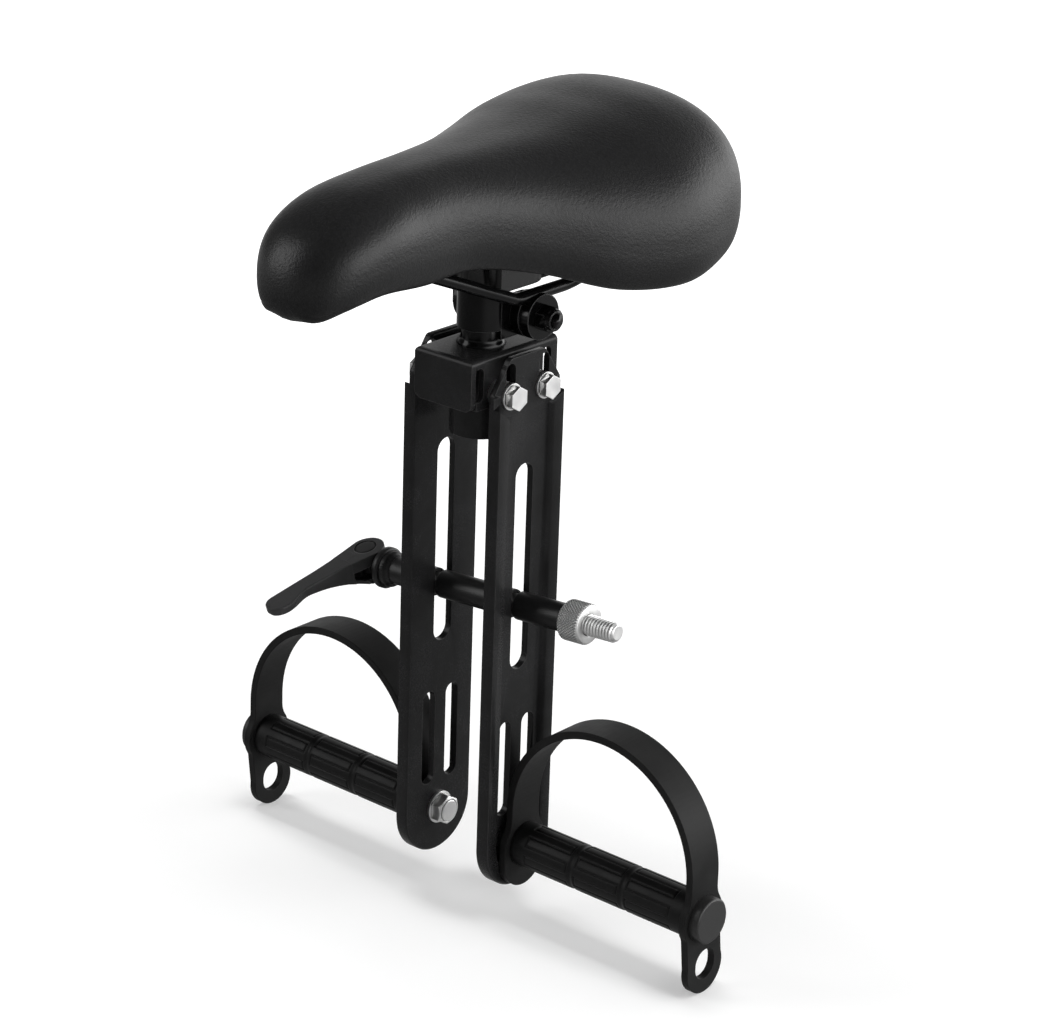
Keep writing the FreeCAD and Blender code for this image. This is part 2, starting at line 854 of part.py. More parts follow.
def skin(sections):
    """Solid through closed sections of equal count, in plain triangles."""
    faces = []

    def face(*corners):
        faces.append(Part.Face(Part.makePolygon([*corners, corners[0]])))

    for near_side, far_side in zip(sections, sections[1:]):
        for i, corner in enumerate(near_side):
            following = near_side[i - 1]
            face(corner, following, far_side[i])
            face(following, far_side[i - 1], far_side[i])
    face(*sections[0])
    face(*sections[-1])
    solid = Part.makeSolid(Part.makeShell(faces))
    if solid.Volume < 0:
        solid.reverse()
    return solid


def slab(wall, low, high):
    """Straight-sided filling of the saddle's underside, between two heights above the rim."""
    sections = []
    for index in HOLLOW_STATIONS:
        y, half, rim, crown = station_size(index)
        side = half - wall
        corners = ((-side, low), (side, low), (side, high), (-side, high))
        sections.append([Vector(x, y, rim + z) for x, z in corners])
    return skin(sections)


def boss():
    """Round-ended block that hangs from the base over the post's head."""
    radius = number(d.boss_width) / 2
    low = number(post_head + d.boss_gap)
    height = number(saddle_rim + d.saddle_height) - low
    front = number(d.boss_front) + radius
    rear = number(d.boss_rear) - radius
    block = Part.makeBox(2 * radius, rear - front, height, Vector(-radius, front, low))
    ends = [Part.makeCylinder(radius, height, Vector(0, y, low)) for y in (front, rear)]
    return block.multiFuse(ends)


def feature(label, shape):
    item = keep(label, doc.addObject("Part::Feature", label))
    item.Shape = shape
    item.Placement = Placement()
    return item


def make_saddle():
    """Padded cover with a hollow underside, the base that fills it, and the rail wire."""
    wall = number(d.saddle_wall)
    play = number(d.base_play)
    recess = number(d.saddle_recess)
    thickness = number(d.base_thickness)
    form = skin([crown_section(index) for index in range(len(STATIONS))])
    hollow = slab(wall, -number(d.saddle_height), recess)
    feature("saddle_cover", form.cut(hollow))
    wire = rail_wire()
    rail = number(d.rail_diameter) / 2
    feature("saddle_rails", tube_along(wire, rail))
    base = slab(wall + play, recess - thickness, recess - play)
    filling = slab(wall + play, -number(d.saddle_height), recess - play)
    base = base.fuse(boss().common(filling)).removeSplitter()
    room = rail + number(d.rail_play)
    for end in (wire.Edges[0], wire.Edges[-1]):
        start = end.Vertexes[0].Point
        base = base.cut(Part.makeCylinder(room, end.Length, start, end.Vertexes[1].Point - start))
    reach = number(d.rail_nose_spread) / 2 + 2 * rail
    nose_height = number(rail_height + d.rail_nose_rise)
    front = Vector(-reach, number(d.rail_nose_reach) - room, nose_height - 2 * thickness)
    base = base.cut(Part.makeBox(2 * reach, number(d.rail_pocket), 2 * thickness + room, front))
    feature("saddle_base", base)


make_saddle()


# Clamp rod, sleeves and knurled nut

# The rod is shown loose, so it hangs a little askew in the long slots
rod_lean = Rotation(Vector(0, 1, 0), -number(d.rod_tilt))
lean_play = d.slide_play + tangent(d.rod_tilt) * d.sleeve_diameter / 2
sleeve_bore = d.rod_diameter / 2 + d.sleeve_play
left_sleeve_start = web_face + lean_play
nut_start = d.left_sleeve_end
collar_start = d.right_sleeve_end
thrust_start = collar_start + d.collar_length
thrust_face = thrust_start + d.thrust_thickness
pivot = thrust_face + d.cam_play + d.cam_radius + d.cam_offset


def make_rod():
    """Rod through both long slots, necked down where it enters the lever's pin."""
    at = {"z": -d.rod_drop, "rotation": rod_lean}
    radius = d.rod_diameter / 2
    turned("clamp_rod", [
        (-pivot - d.rod_neck / 2, 0),
        (d.rod_end, 0),
        (d.rod_end, radius - d.nut_chamfer),
        (d.rod_end - d.nut_chamfer, radius),
        (-thrust_start, radius),
        (-thrust_start, d.rod_neck / 2),
        (-pivot - d.rod_neck / 2, d.rod_neck / 2),
    ], **at)
    outer = d.sleeve_diameter / 2
    middle = inner_face - lean_play
    turned("middle_sleeve", ring(-middle, middle, sleeve_bore, outer), **at)
    turned("left_sleeve", ring(left_sleeve_start, d.left_sleeve_end, sleeve_bore, outer), **at)
    turned("right_sleeve", ring(-d.right_sleeve_end, -left_sleeve_start, sleeve_bore, outer), **at)
    nut_end = nut_start + d.nut_length
    nut_radius = d.nut_diameter / 2
    turned("knurled_nut", [
        (nut_start, sleeve_bore),
        (nut_end, sleeve_bore),
        (nut_end, d.nut_boss / 2),
        (nut_end - d.nut_boss_length, nut_radius),
        (nut_start + d.nut_chamfer, nut_radius),
        (nut_start, nut_radius - d.nut_chamfer),
    ], **at)
    step_at = -collar_start - d.collar_length / 2
    turned("stepped_collar", [
        (-thrust_start, sleeve_bore),
        (-collar_start, sleeve_bore),
        (-collar_start, d.collar_step / 2),
        (step_at, d.collar_step / 2),
        (step_at, d.collar_diameter / 2),
        (-thrust_start, d.collar_diameter / 2),
    ], **at)
    rim = d.thrust_diameter / 2
    turned("thrust_washer", [
        (-thrust_face, d.rod_neck / 2 + d.sleeve_play),
        (-thrust_start, d.rod_neck / 2 + d.sleeve_play),
        (-thrust_start, rim - d.nut_chamfer),
        (-thrust_start - d.nut_chamfer, rim),
        (-thrust_face + d.nut_chamfer, rim),
        (-thrust_face, rim - d.nut_chamfer),
    ], **at)


make_rod()


# Cam lever

def make_lever():
    """Lever with a forked cam hub; its arm runs along the local -Y axis, its pivot along Z."""
    tilt = rod_lean * Rotation(Vector(1, 0, 0), number(d.lever_tilt))
    swing = Rotation(Vector(0, 0, 1), -number(d.lever_swing))
    lean = math.radians(number(d.rod_tilt))
    pivot_place = {"x": -pivot * math.cos(lean), "z": -d.rod_drop - pivot * math.sin(lean)}
    top = d.lever_lift + d.lever_height / 2
    low = top - d.lever_height
    cam = d.cam_radius
    back = d.lever_arm_width / 2
    waist_at = -d.lever_reach * 0.66
    paddle_at = -d.lever_reach * 0.86
    body = new_body("cam_lever")
    plan = sketch_on(body, "plan", "XY_Plane", low)
    trace(plan, [
        (d.cam_offset + cam, 0, (d.cam_offset, 0), 1),
        (d.cam_offset - cam, 0),
        (-back, -2 * cam),
        (-back, -d.lever_reach),
        (d.lever_paddle - back, -d.lever_reach),
        (d.lever_paddle - back, paddle_at),
        (d.lever_waist - back, waist_at),
        (back, -2 * cam),
    ])
    pad(body, plan, d.lever_height)

    def upright_between(low, high):
        def wanted(edge):
            upright = near(edge.BoundBox.ZLength, d.lever_height)
            return upright and low < edge_middle(edge).y / number(d.lever_reach) < high
        return wanted

    fillet(body, d.lever_waist_round, upright_between(-0.9, -0.6))
    fillet(body, d.lever_tip_round, upright_between(-1.1, -0.95))
    under = sketch_on(body, "underside", "YZ_Plane")
    arm_under = top - d.lever_arm_thickness
    tip_under = top - d.lever_tip_thickness
    arm_start = -d.lever_hub - d.lever_sweep
    drop = d.lever_height - d.lever_arm_thickness
    sweep = (d.lever_sweep * d.lever_sweep + drop * drop) / (2 * drop)
    trace(under, [
        (-d.lever_reach - cam, low - cam),
        (-d.lever_hub, low - cam),
        (-d.lever_hub, low, (arm_start, arm_under - sweep), 1),
        (arm_start, arm_under),
        (-d.lever_reach, tip_under),
        (-d.lever_reach - cam, tip_under),
    ])
    pocket(body, under, both_ways=True)
    hollow = sketch_on(body, "side_pocket", "YZ_Plane", d.lever_pocket_floor)
    half_pocket = d.lever_pocket_height / 2
    round_end = -d.lever_pocket_reach + half_pocket
    trace(hollow, [
        (0, -half_pocket),
        (0, half_pocket),
        (round_end, half_pocket, (round_end, 0), 1),
        (round_end, -half_pocket),
    ])
    pocket(body, hollow)
    fork = sketch_on(body, "fork", "XY_Plane")
    rectangle(fork, -2 * cam, -d.rod_neck / 2 - d.fork_play - d.cam_offset, 2 * cam, 2 * cam)
    pocket(body, fork, d.rod_neck + 2 * d.fork_play, both_ways=True)
    bore = sketch_on(body, "pin_bore", "XY_Plane", low)
    round_hole(bore, 0, 0, d.pin_diameter + 2 * d.pin_play)
    pocket(body, bore)
    place(body, rotation=tilt * swing, **pivot_place)

    pin_body = new_body("lever_pivot_pin")
    disc = sketch_on(pin_body, "disc", "XY_Plane", low)
    round_hole(disc, 0, 0, d.pin_diameter)
    pad(pin_body, disc, d.lever_height)
    cross = sketch_on(pin_body, "cross_hole", "YZ_Plane", -d.pin_diameter)
    round_hole(cross, 0, 0, d.rod_neck + 2 * d.sleeve_play)
    pocket(pin_body, cross)
    place(pin_body, rotation=tilt, **pivot_place)


make_lever()


# Foot pegs and straps

def make_grip(label):
    """Rubber sleeve: rows of long pads between two smooth collars and two bands."""
    body = new_body(label)
    inner = d.peg_core_diameter / 2 + d.peg_core_play
    outer = d.grip_diameter / 2
    floor = outer - d.grip_groove_depth
    profile = sketch_on(body, "profile", "XZ_Plane")
    trace(profile, ring(grip_start, grip_end, inner, outer))
    spin = body.newObject("PartDesign::Revolution", f"{label}_spin")
    spin.Profile = profile
    spin.ReferenceAxis = (profile, ["H_Axis"])
    spin.Angle = 360
    grooves = sketch_on(body, "grooves", "XY_Plane", floor)
    first = grip_start + d.grip_collar
    run = d.peg_length - 2 * d.grip_collar
    length = (run - 2 * d.grip_band) / 3
    half = d.grip_groove / 2
    for section in range(3):
        start = first + section * (length + d.grip_band)
        rectangle(grooves, start, -half, start + length, half)
    groove = pocket(body, grooves)
    pattern = body.newObject("PartDesign::PolarPattern", f"{label}_pads")
    pattern.Originals = [groove]
    pattern.Axis = (profile, ["H_Axis"])
    pattern.Angle = 360
    pattern.setExpression("Occurrences", d.grip_pads.text)
    body.Tip = pattern
    return body


def make_strap(label, lean):
    """Arched foot strap with an eye at each end and a holed tail below the outer one."""
    body = new_body(label)
    thick = d.strap_thickness
    middle = (strap_start + strap_end) / 2
    spring = d.strap_height - (strap_end - strap_start) / 2
    arch = sketch_on(body, "arch", "XZ_Plane")
    trace(arch, [
        (strap_end - thick, 0),
        (strap_end, 0),
        (strap_end, spring, (middle, spring), 1),
        (strap_start, spring),
        (strap_start, 0),
        (strap_start + thick, 0),
        (strap_start + thick, spring, (middle, spring), -1),
        (strap_end - thick, spring),
    ])
    pad(body, arch, d.strap_width, both_ways=True)
    radius = d.strap_eye_width / 2
    inner_eye = sketch_on(body, "inner_eye", "YZ_Plane", strap_start)
    slot(inner_eye, 0, -d.strap_foot - radius, radius, d.strap_eye_width)
    pad(body, inner_eye, thick)
    outside = strap_end - thick
    for name, u, v, width in (
        ("outer_eye", 0, 0, d.strap_eye_width),
        ("tail", lean, -d.strap_tail, d.strap_tail_width),
    ):
        disc = sketch_on(body, name, "YZ_Plane", outside)
        round_hole(disc, u, v, width)
        pad(body, disc, thick)
    neck = sketch_on(body, "neck", "YZ_Plane", outside)
    half_neck = d.strap_neck / 2
    trace(neck, [
        (-half_neck, 0),
        (lean - half_neck, -d.strap_tail),
        (lean + half_neck, -d.strap_tail),
        (half_neck, 0),
    ])
    pad(body, neck, thick)

    def across_strap(low, high, from_x):
        def wanted(edge):
            bounds = edge.BoundBox
            place = edge_middle(edge)
            straight = near(bounds.XLength, thick) and bounds.DiagonalLength < number(thick) + 0.01
            return straight and low < place.z < high and place.x > from_x
        return wanted

    eye = number(radius)
    fillet(body, d.strap_flare, across_strap(0.3 * eye, eye, 0))
    tail_top = -number(d.strap_tail) + 0.1 * number(d.strap_tail_width) / 2
    fillet(body, d.strap_neck_round, across_strap(tail_top, -0.3 * eye, number(middle)))
    holes = sketch_on(body, "bolt_holes", "YZ_Plane", strap_start)
    round_hole(holes, 0, 0, d.peg_bolt_thread + 2 * d.peg_bolt_play)
    pocket(body, holes)
    tail = sketch_on(body, "tail_hole", "YZ_Plane", outside)
    low = d.strap_hole_rise - d.strap_tail - d.strap_hole_length / 2
    slot(tail, lean, low, low + d.strap_hole_length, d.strap_hole_width)
    pocket(body, tail)
    return body


def make_peg(side, rotation):
    """Peg with its strap, bolted through the leg's foot."""
    bore = d.peg_bolt_thread / 2 + d.peg_bolt_play
    thread = d.peg_bolt_thread / 2
    at = {"z": -d.peg_drop, "rotation": rotation}
    nut_face = inner_face - d.peg_washer_thickness
    nut_end = nut_face - d.peg_nut_height
    dome_end = nut_end - d.peg_nut_dome
    bolt_tip = dome_end - d.peg_bolt_tip
    head_end = strap_end + d.peg_bolt_head_height
    turned(f"{side}_peg_spacer", ring(web_face, strap_start, bore, d.peg_spacer_width / 2), **at)
    turned(f"{side}_peg_core", ring(grip_start, grip_end, bore, d.peg_core_diameter / 2), **at)
    place(make_grip(f"{side}_peg_grip"), **at)
    place(make_strap(f"{side}_foot_strap", SIDES[side] * d.strap_tail_lean), **at)
    turned(f"{side}_peg_bolt", [
        (bolt_tip, 0),
        (head_end, 0),
        (head_end, d.peg_bolt_head_width / 2),
        (strap_end, d.peg_bolt_head_width / 2),
        (strap_end, thread),
        (bolt_tip, thread),
    ], **at)
    cap_end = strap_end + d.peg_cap_thickness
    cap = d.peg_cap_diameter / 2
    cup = d.peg_bolt_head_width / 2 + d.peg_bolt_play
    turned(f"{side}_peg_cap", [
        (head_end + d.peg_bolt_play, 0),
        (cap_end, 0),
        (cap_end, cap - d.peg_cap_chamfer),
        (cap_end - d.peg_cap_chamfer, cap),
        (strap_end, cap),
        (strap_end, cup),
        (head_end + d.peg_bolt_play, cup),
    ], **at)
    turned(f"{side}_peg_washer", ring(nut_face, inner_face, bore, d.peg_washer_width / 2), **at)
    sign = SIDES[side]
    inwards = AGAINST_X if sign > 0 else ALONG_X
    low = {"z": -d.peg_drop, "rotation": inwards}
    nut = hexagon(f"{side}_nut_hex", d.peg_nut_flats, d.peg_nut_height, sign * nut_face, **low)
    dome = cylinder(f"{side}_nut_dome", d.peg_nut_flats / 2 - 1, d.peg_nut_dome, sign * nut_end, **low)
    nut_bore = cylinder(f"{side}_nut_bore", thread + d.bolt_play, d.peg_nut_height + d.peg_nut_dome,
                        sign * nut_face, **low)
    keep(f"{side}_peg_nut", cut(f"{side}_peg_nut", fuse(f"{side}_nut_body", nut, dome), nut_bore))


make_peg("left", NO_TURN)
make_peg("right", HALF_TURN)


# Check every piece, then write one file for each

doc.recompute()
for item in doc.Objects:
    if "Invalid" in item.State or "Error" in item.State:
        raise RuntimeError(f"{item.Label} failed: {item.State}")
os.makedirs("parts", exist_ok=True)
for label, item in parts.items():
    if item.Shape.isNull() or not item.Shape.isValid():
        raise RuntimeError(f"{label} has no valid shape")
for label, item in parts.items():
    item.Shape.exportStep(f"parts/{label}.step")
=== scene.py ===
import bmesh
import bpy
import json
import math
from mathutils import Matrix, Vector

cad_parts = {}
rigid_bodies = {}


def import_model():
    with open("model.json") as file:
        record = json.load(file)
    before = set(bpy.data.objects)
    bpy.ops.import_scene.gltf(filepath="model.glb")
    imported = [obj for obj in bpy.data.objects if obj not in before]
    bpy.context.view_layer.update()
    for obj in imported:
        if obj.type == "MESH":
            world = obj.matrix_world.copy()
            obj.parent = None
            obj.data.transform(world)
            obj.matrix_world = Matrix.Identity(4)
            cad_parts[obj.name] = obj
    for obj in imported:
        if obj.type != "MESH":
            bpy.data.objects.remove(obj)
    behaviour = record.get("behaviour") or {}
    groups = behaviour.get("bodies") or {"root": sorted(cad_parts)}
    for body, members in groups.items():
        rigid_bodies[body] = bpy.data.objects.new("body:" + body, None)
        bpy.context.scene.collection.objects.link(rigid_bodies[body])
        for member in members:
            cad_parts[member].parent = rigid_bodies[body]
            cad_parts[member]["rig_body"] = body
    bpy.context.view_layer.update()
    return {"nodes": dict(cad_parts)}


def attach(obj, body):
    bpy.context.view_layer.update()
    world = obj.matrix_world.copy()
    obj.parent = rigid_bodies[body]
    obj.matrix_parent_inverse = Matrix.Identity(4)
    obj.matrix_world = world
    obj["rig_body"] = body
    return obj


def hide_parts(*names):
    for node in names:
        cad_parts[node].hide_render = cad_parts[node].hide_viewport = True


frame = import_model()
scene = bpy.context.scene
MM = 0.001
SIDES = {"left": 1, "right": -1}


def unit(value):
    """The value held between 0 and 1."""
    return max(0.0, min(1.0, value))


# Shader trees

class Wires:
    """Short hand for a shader tree."""

    def __init__(self, tree):
        self.tree = tree

    def feed(self, socket, value):
        if isinstance(value, bpy.types.NodeSocket):
            self.tree.links.new(value, socket)
        else:
            socket.default_value = value

    def node(self, kind, *inputs, operation=None, **named):
        """A new node, fed in the order of its inputs or by their names."""
        node = self.tree.nodes.new(kind)
        if operation:
            node.operation = operation
        for socket, value in zip(node.inputs, inputs):
            self.feed(socket, value)
        for name, value in named.items():
            self.feed(node.inputs[name], value)
        return node

    def maths(self, operation, *inputs):
        return self.node("ShaderNodeMath", *inputs, operation=operation).outputs[0]

    def along(self, vector, direction):
        return self.node("ShaderNodeVectorMath", vector, direction, operation="DOT_PRODUCT").outputs["Value"]

    def ramp(self, value, start, end, low, high, shape="SMOOTHSTEP"):
        """Carry a value from the range start to end over to the range low to high."""
        node = self.node("ShaderNodeMapRange", value, start, end, low, high)
        node.interpolation_type = shape
        return node.outputs[0]


# Materials

# Places of a Mix node's two inputs and its result, for each type of data
MIX_SOCKETS = {"RGBA": (6, 7, 2), "VECTOR": (4, 5, 1)}
# Ranges that one noise, and the sum of two, mostly keep to
NOISE_RANGE = (0.3, 0.7)
PAIR_RANGE = (0.7, 1.3)
BEVEL_SAMPLES = 6
# Samples of the ambient occlusion behind the painted crevice shade
CREVICE_SHADE_SAMPLES = 8
# Grey of the painted highlight along coat and gloss edges, lighter than the coats, as where edges catch the
# light
PAINTED_EDGE_HIGHLIGHT = 0.06


def grey(level, blue=None):
    """An RGBA grey, with its own blue where it is tinted."""
    return (level, level, level if blue is None else blue, 1)


class Paint(Wires):
    """A procedural material built round one Principled shader, with edges rounded in shading."""

    def __init__(self, name, edge=0.4, **sockets):
        self.material = bpy.data.materials.new(name)
        self.material.use_nodes = True
        super().__init__(self.material.node_tree)
        self.shader = self.tree.nodes["Principled BSDF"]
        self.place = self.node("ShaderNodeTexCoord").outputs["Object"]
        bevel = self.node("ShaderNodeBevel", Radius=edge * MM)
        bevel.samples = BEVEL_SAMPLES
        self.rounded = bevel.outputs["Normal"]
        for socket, value in sockets.items():
            self.shader.inputs[socket.replace("_", " ")].default_value = value

    def stretched(self, scale):
        return self.node("ShaderNodeMapping", Vector=self.place, Scale=scale).outputs["Vector"]

    def noise(self, scale, detail, roughness=0.55, vector=None):
        node = self.node("ShaderNodeTexNoise", Vector=vector or self.place)
        node.inputs["Scale"].default_value = scale
        node.inputs["Detail"].default_value = detail
        node.inputs["Roughness"].default_value = roughness
        return node.outputs["Fac"]

    def cells(self, scale, vector):
        node = self.node("ShaderNodeTexVoronoi", Vector=vector, Scale=scale)
        node.feature = "SMOOTH_F1"
        return node.outputs["Distance"]

    def spread(self, value, low, high, within=NOISE_RANGE):
        """Carry a texture from the range it keeps to over to the range low to high."""
        return self.ramp(value, *within, low, high, "LINEAR")

    def blend(self, kind, amount, first, second):
        node = self.node("ShaderNodeMix")
        node.data_type = kind
        a, b, result = MIX_SOCKETS[kind]
        self.feed(node.inputs["Factor"], amount)
        self.feed(node.inputs[a], first)
        self.feed(node.inputs[b], second)
        return node.outputs[result]

    def colour(self, amount, first, second):
        self.feed(self.shader.inputs["Base Color"], self.blend("RGBA", amount, first, second))

    def tint(self, amount, shade):
        """Turn the colour so far towards a grey."""
        so_far = self.shader.inputs["Base Color"].links[0].from_socket
        self.colour(amount, so_far, grey(shade))

    def painted_edge_light_and_shade(self, shade):
        """Paint the edges a grey of their own, where the rounded normal leaves the plain one: painted
        highlight where the grey is lighter, painted shade where it is darker.
        """
        plain = self.node("ShaderNodeNewGeometry").outputs["Normal"]
        bend = self.along(plain, self.rounded)
        self.tint(self.spread(bend, 1, 0, within=(0.86, 0.99)), shade)

    def painted_crevice_shade(self, reach, shade):
        """Darken the crevices where ambient occlusion finds them closed in: painted shade."""
        node = self.node("ShaderNodeAmbientOcclusion", Distance=reach * MM)
        node.samples = CREVICE_SHADE_SAMPLES
        self.tint(self.spread(node.outputs["AO"], 1, 0, within=(0.35, 0.8)), shade)

    def rough(self, value):
        self.feed(self.shader.inputs["Roughness"], value)

    def bump(self, height, strength, distance):
        node = self.node("ShaderNodeBump", Height=height, Normal=self.rounded)
        node.inputs["Strength"].default_value = strength
        node.inputs["Distance"].default_value = distance * MM
        self.feed(self.shader.inputs["Normal"], node.outputs["Normal"])
        return self.material


def powder_coat(name, level, roughness, edge=0.5, shine=0.4, painted_edge_level=PAINTED_EDGE_HIGHLIGHT):
    """Satin powder coat: a faint orange peel with fine speckle and uneven gloss."""
    paint = Paint(name, edge, Specular_IOR_Level=shine)
    patches = paint.noise(scale=45, detail=3)
    paint.colour(paint.spread(patches, 0, 1), grey(level * 0.82), grey(level * 1.15, blue=level * 1.19))
    # Painted highlight along the edges; a darker grey paints shade there instead
    paint.painted_edge_light_and_shade(painted_edge_level)
    speckle = paint.noise(scale=2600, detail=2)
    paint.rough(paint.spread(paint.maths("ADD", patches, speckle), *roughness, within=PAIR_RANGE))
    peel = paint.maths("ADD", paint.noise(scale=700, detail=2), paint.maths("MULTIPLY", speckle, 0.5))
    return paint.bump(peel, strength=0.12, distance=0.1)


def leatherette():
    """Black leatherette: small rounded grain cells, warped and uneven, over soft patches."""
    paint = Paint("saddle_leatherette", Specular_IOR_Level=0.34)
    warp = paint.node("ShaderNodeTexNoise", Vector=paint.place, Scale=120).outputs["Color"]
    warped = paint.blend("VECTOR", 0.004, paint.place, warp)
    grain = paint.cells(720, warped)
    fine = paint.cells(1500, warped)
    patches = paint.noise(scale=30, detail=4)
    amount = paint.spread(grain, 0, 1, within=(0.1, 0.8))
    paint.colour(amount, grey(0.0085, blue=0.0088), grey(0.005, blue=0.0052))
    uneven = paint.maths("ADD", patches, paint.maths("MULTIPLY", grain, 0.3))
    paint.rough(paint.spread(uneven, 0.35, 0.45, within=(0.4, 0.9)))
    height = paint.maths("ADD", grain, paint.maths("MULTIPLY", fine, 0.8))
    return paint.bump(height, strength=0.4, distance=0.2)


def rubber(name, level, roughness, shine):
    """Moulded rubber: matt, with a dry bloom in patches."""
    paint = Paint(name, edge=0.6, Specular_IOR_Level=shine)
    bloom = paint.noise(scale=70, detail=5, roughness=0.62)
    paint.colour(paint.spread(bloom, 0, 1), grey(level * 0.8), grey(level * 1.25))
    paint.rough(paint.spread(bloom, *roughness))
    return paint.bump(paint.noise(scale=1900, detail=3), strength=0.14, distance=0.12)


def bright_steel(name, roughness, crevice_shade=0.1, level=0.94):
    """Zinc-plated steel: faintly mottled, with fine drawn marks and painted shade in its crevices."""
    paint = Paint(name, edge=0.3, Metallic=1.0)
    mottle = paint.noise(scale=160, detail=3, roughness=0.5)
    drawn = paint.noise(scale=260, detail=4, roughness=0.6, vector=paint.stretched((1, 14, 14)))
    paint.colour(paint.spread(mottle, 0, 1), grey(level * 0.9), grey(level, blue=level * 0.99))
    # Painted shade darkens the crevices
    paint.painted_crevice_shade(reach=0.7, shade=crevice_shade)
    paint.rough(paint.spread(paint.maths("ADD", mottle, drawn), *roughness, within=PAIR_RANGE))
    return paint.bump(drawn, strength=0.04, distance=0.06)


def gloss_paint():
    """Gloss black dip paint, a little uneven."""
    paint = Paint("gloss_black", edge=0.9, Specular_IOR_Level=0.22)
    patches = paint.noise(scale=90, detail=4)
    paint.colour(paint.spread(patches, 0, 1), grey(0.0015, blue=0.0016), grey(0.003, blue=0.0032))
    # Painted highlight along the edges
    paint.painted_edge_light_and_shade(PAINTED_EDGE_HIGHLIGHT)
    paint.rough(paint.spread(patches, 0.1, 0.2))
    return paint.bump(paint.noise(scale=260, detail=2), strength=0.1, distance=0.15)


def moulded(name, level, roughness):
    """Moulded plastic with a fine spark-eroded texture."""
    paint = Paint(name)
    patches = paint.noise(scale=80, detail=3)
    speckle = paint.noise(scale=3200, detail=2)
    paint.colour(paint.spread(speckle, 0, 1), grey(level * 0.85), grey(level * 1.15))
    paint.rough(paint.spread(patches, *roughness))
    return paint.bump(speckle, strength=0.16, distance=0.08)


COAT = powder_coat("satin_powder_coat", level=0.015, roughness=(0.2, 0.3), shine=0.14)
SLEEVE = powder_coat("sleeve_coat", level=0.008, roughness=(0.34, 0.46))
CASTING = powder_coat("lever_coat", level=0.023, roughness=(0.36, 0.48), edge=0.8)
# Painted shade on the pin's edges, darkening its rims and turned grooves
PIN = powder_coat("pin_coat", level=0.013, roughness=(0.45, 0.6), edge=0.9, painted_edge_level=0.001)
LEATHER = leatherette()
STRAP = rubber("strap_rubber", level=0.011, roughness=(0.42, 0.56), shine=0.12)
GRIP = rubber("grip_rubber", level=0.008, roughness=(0.36, 0.5), shine=0.17)
ZINC = bright_steel("zinc_steel", roughness=(0.32, 0.44))
# Lighter painted shade in the knurl's grooves than on the other zinc
KNURL = bright_steel("knurled_steel", roughness=(0.36, 0.48), crevice_shade=0.3, level=0.76)
PITTED = bright_steel("pitted_zinc", roughness=(0.36, 0.5))
GLOSS = gloss_paint()
CAP = moulded("cap_plastic", level=0.016, roughness=(0.36, 0.46))
SHELL = moulded("shell_plastic", level=0.003, roughness=(0.25, 0.4))


# Mesh helpers

# Angles in degrees past which an edge stays sharp
CREASE, ROUND_CREASE, KNURL_CREASE = 30, 50, 60
NODE_WELD, SKIN_WELD, SLIVER = 0.002, 0.001, 0.0001


def finish_mesh(name, bm, node, material, crease=CREASE, even=True):
    """Turn a bmesh in metres into a piece that rides with a node's body and stands for the node."""
    mesh = bpy.data.meshes.new(name)
    bmesh.ops.recalc_face_normals(bm, faces=bm.faces)
    bm.to_mesh(mesh)
    bm.free()
    mesh.polygons.foreach_set("use_smooth", [True] * len(mesh.polygons))
    mesh.set_sharp_from_angle(angle=math.radians(crease))
    mesh.materials.append(material)
    piece = bpy.data.objects.new(name, mesh)
    scene.collection.objects.link(piece)
    if even:
        normals = piece.modifiers.new("even_normals", "WEIGHTED_NORMAL")
        normals.keep_sharp = True
    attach(piece, frame["nodes"][node]["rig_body"])
    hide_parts(node)
    return piece


def node_mesh(node):
    """A node's own mesh in metres, with its points welded."""
    bm = bmesh.new()
    bm.from_mesh(frame["nodes"][node].data)
    bmesh.ops.remove_doubles(bm, verts=bm.verts, dist=NODE_WELD * MM)
    return bm


def dressed(node, material):
    """The node's own form in its finish."""
    finish_mesh(f"{node}_dressed", node_mesh(node), node, material)


def grid_faces(rows, columns):
    """Quads between closed rows of points."""
    faces = []
    for row in range(rows - 1):
        near, far = row * columns, (row + 1) * columns
        for column in range(columns):
            following = (column + 1) % columns
            faces.append((near + column, near + following, far + following, far + column))
    return faces


def skin(points, faces):
    """A bmesh in metres from points in millimetres."""
    bm = bmesh.new()
    made = [bm.verts.new(Vector(p) * MM) for p in points]
    for face in faces:
        bm.faces.new([made[i] for i in face])
    bmesh.ops.remove_doubles(bm, verts=bm.verts, dist=SKIN_WELD * MM)
    bmesh.ops.dissolve_degenerate(bm, edges=bm.edges, dist=SLIVER * MM)
    return bm


def turned(rows, columns, radius_at, place):
    """A form turned round X: radius_at(row, turn) gives the place along it and the radius."""
    points = []
    for row in range(rows):
        for column in range(columns):
            turn = 2 * math.pi * column / columns
            along, radius = radius_at(row, turn)
            points.append(place @ Vector((along, radius * math.cos(turn), radius * math.sin(turn))))
    return skin(points, grid_faces(rows, columns))


# Saddle

SADDLE_NOSE = -131.7
SADDLE_LENGTH = 246.0
SADDLE_HALF = 75.0
SADDLE_LOW = 125.0
SADDLE_HEIGHT = 75.0
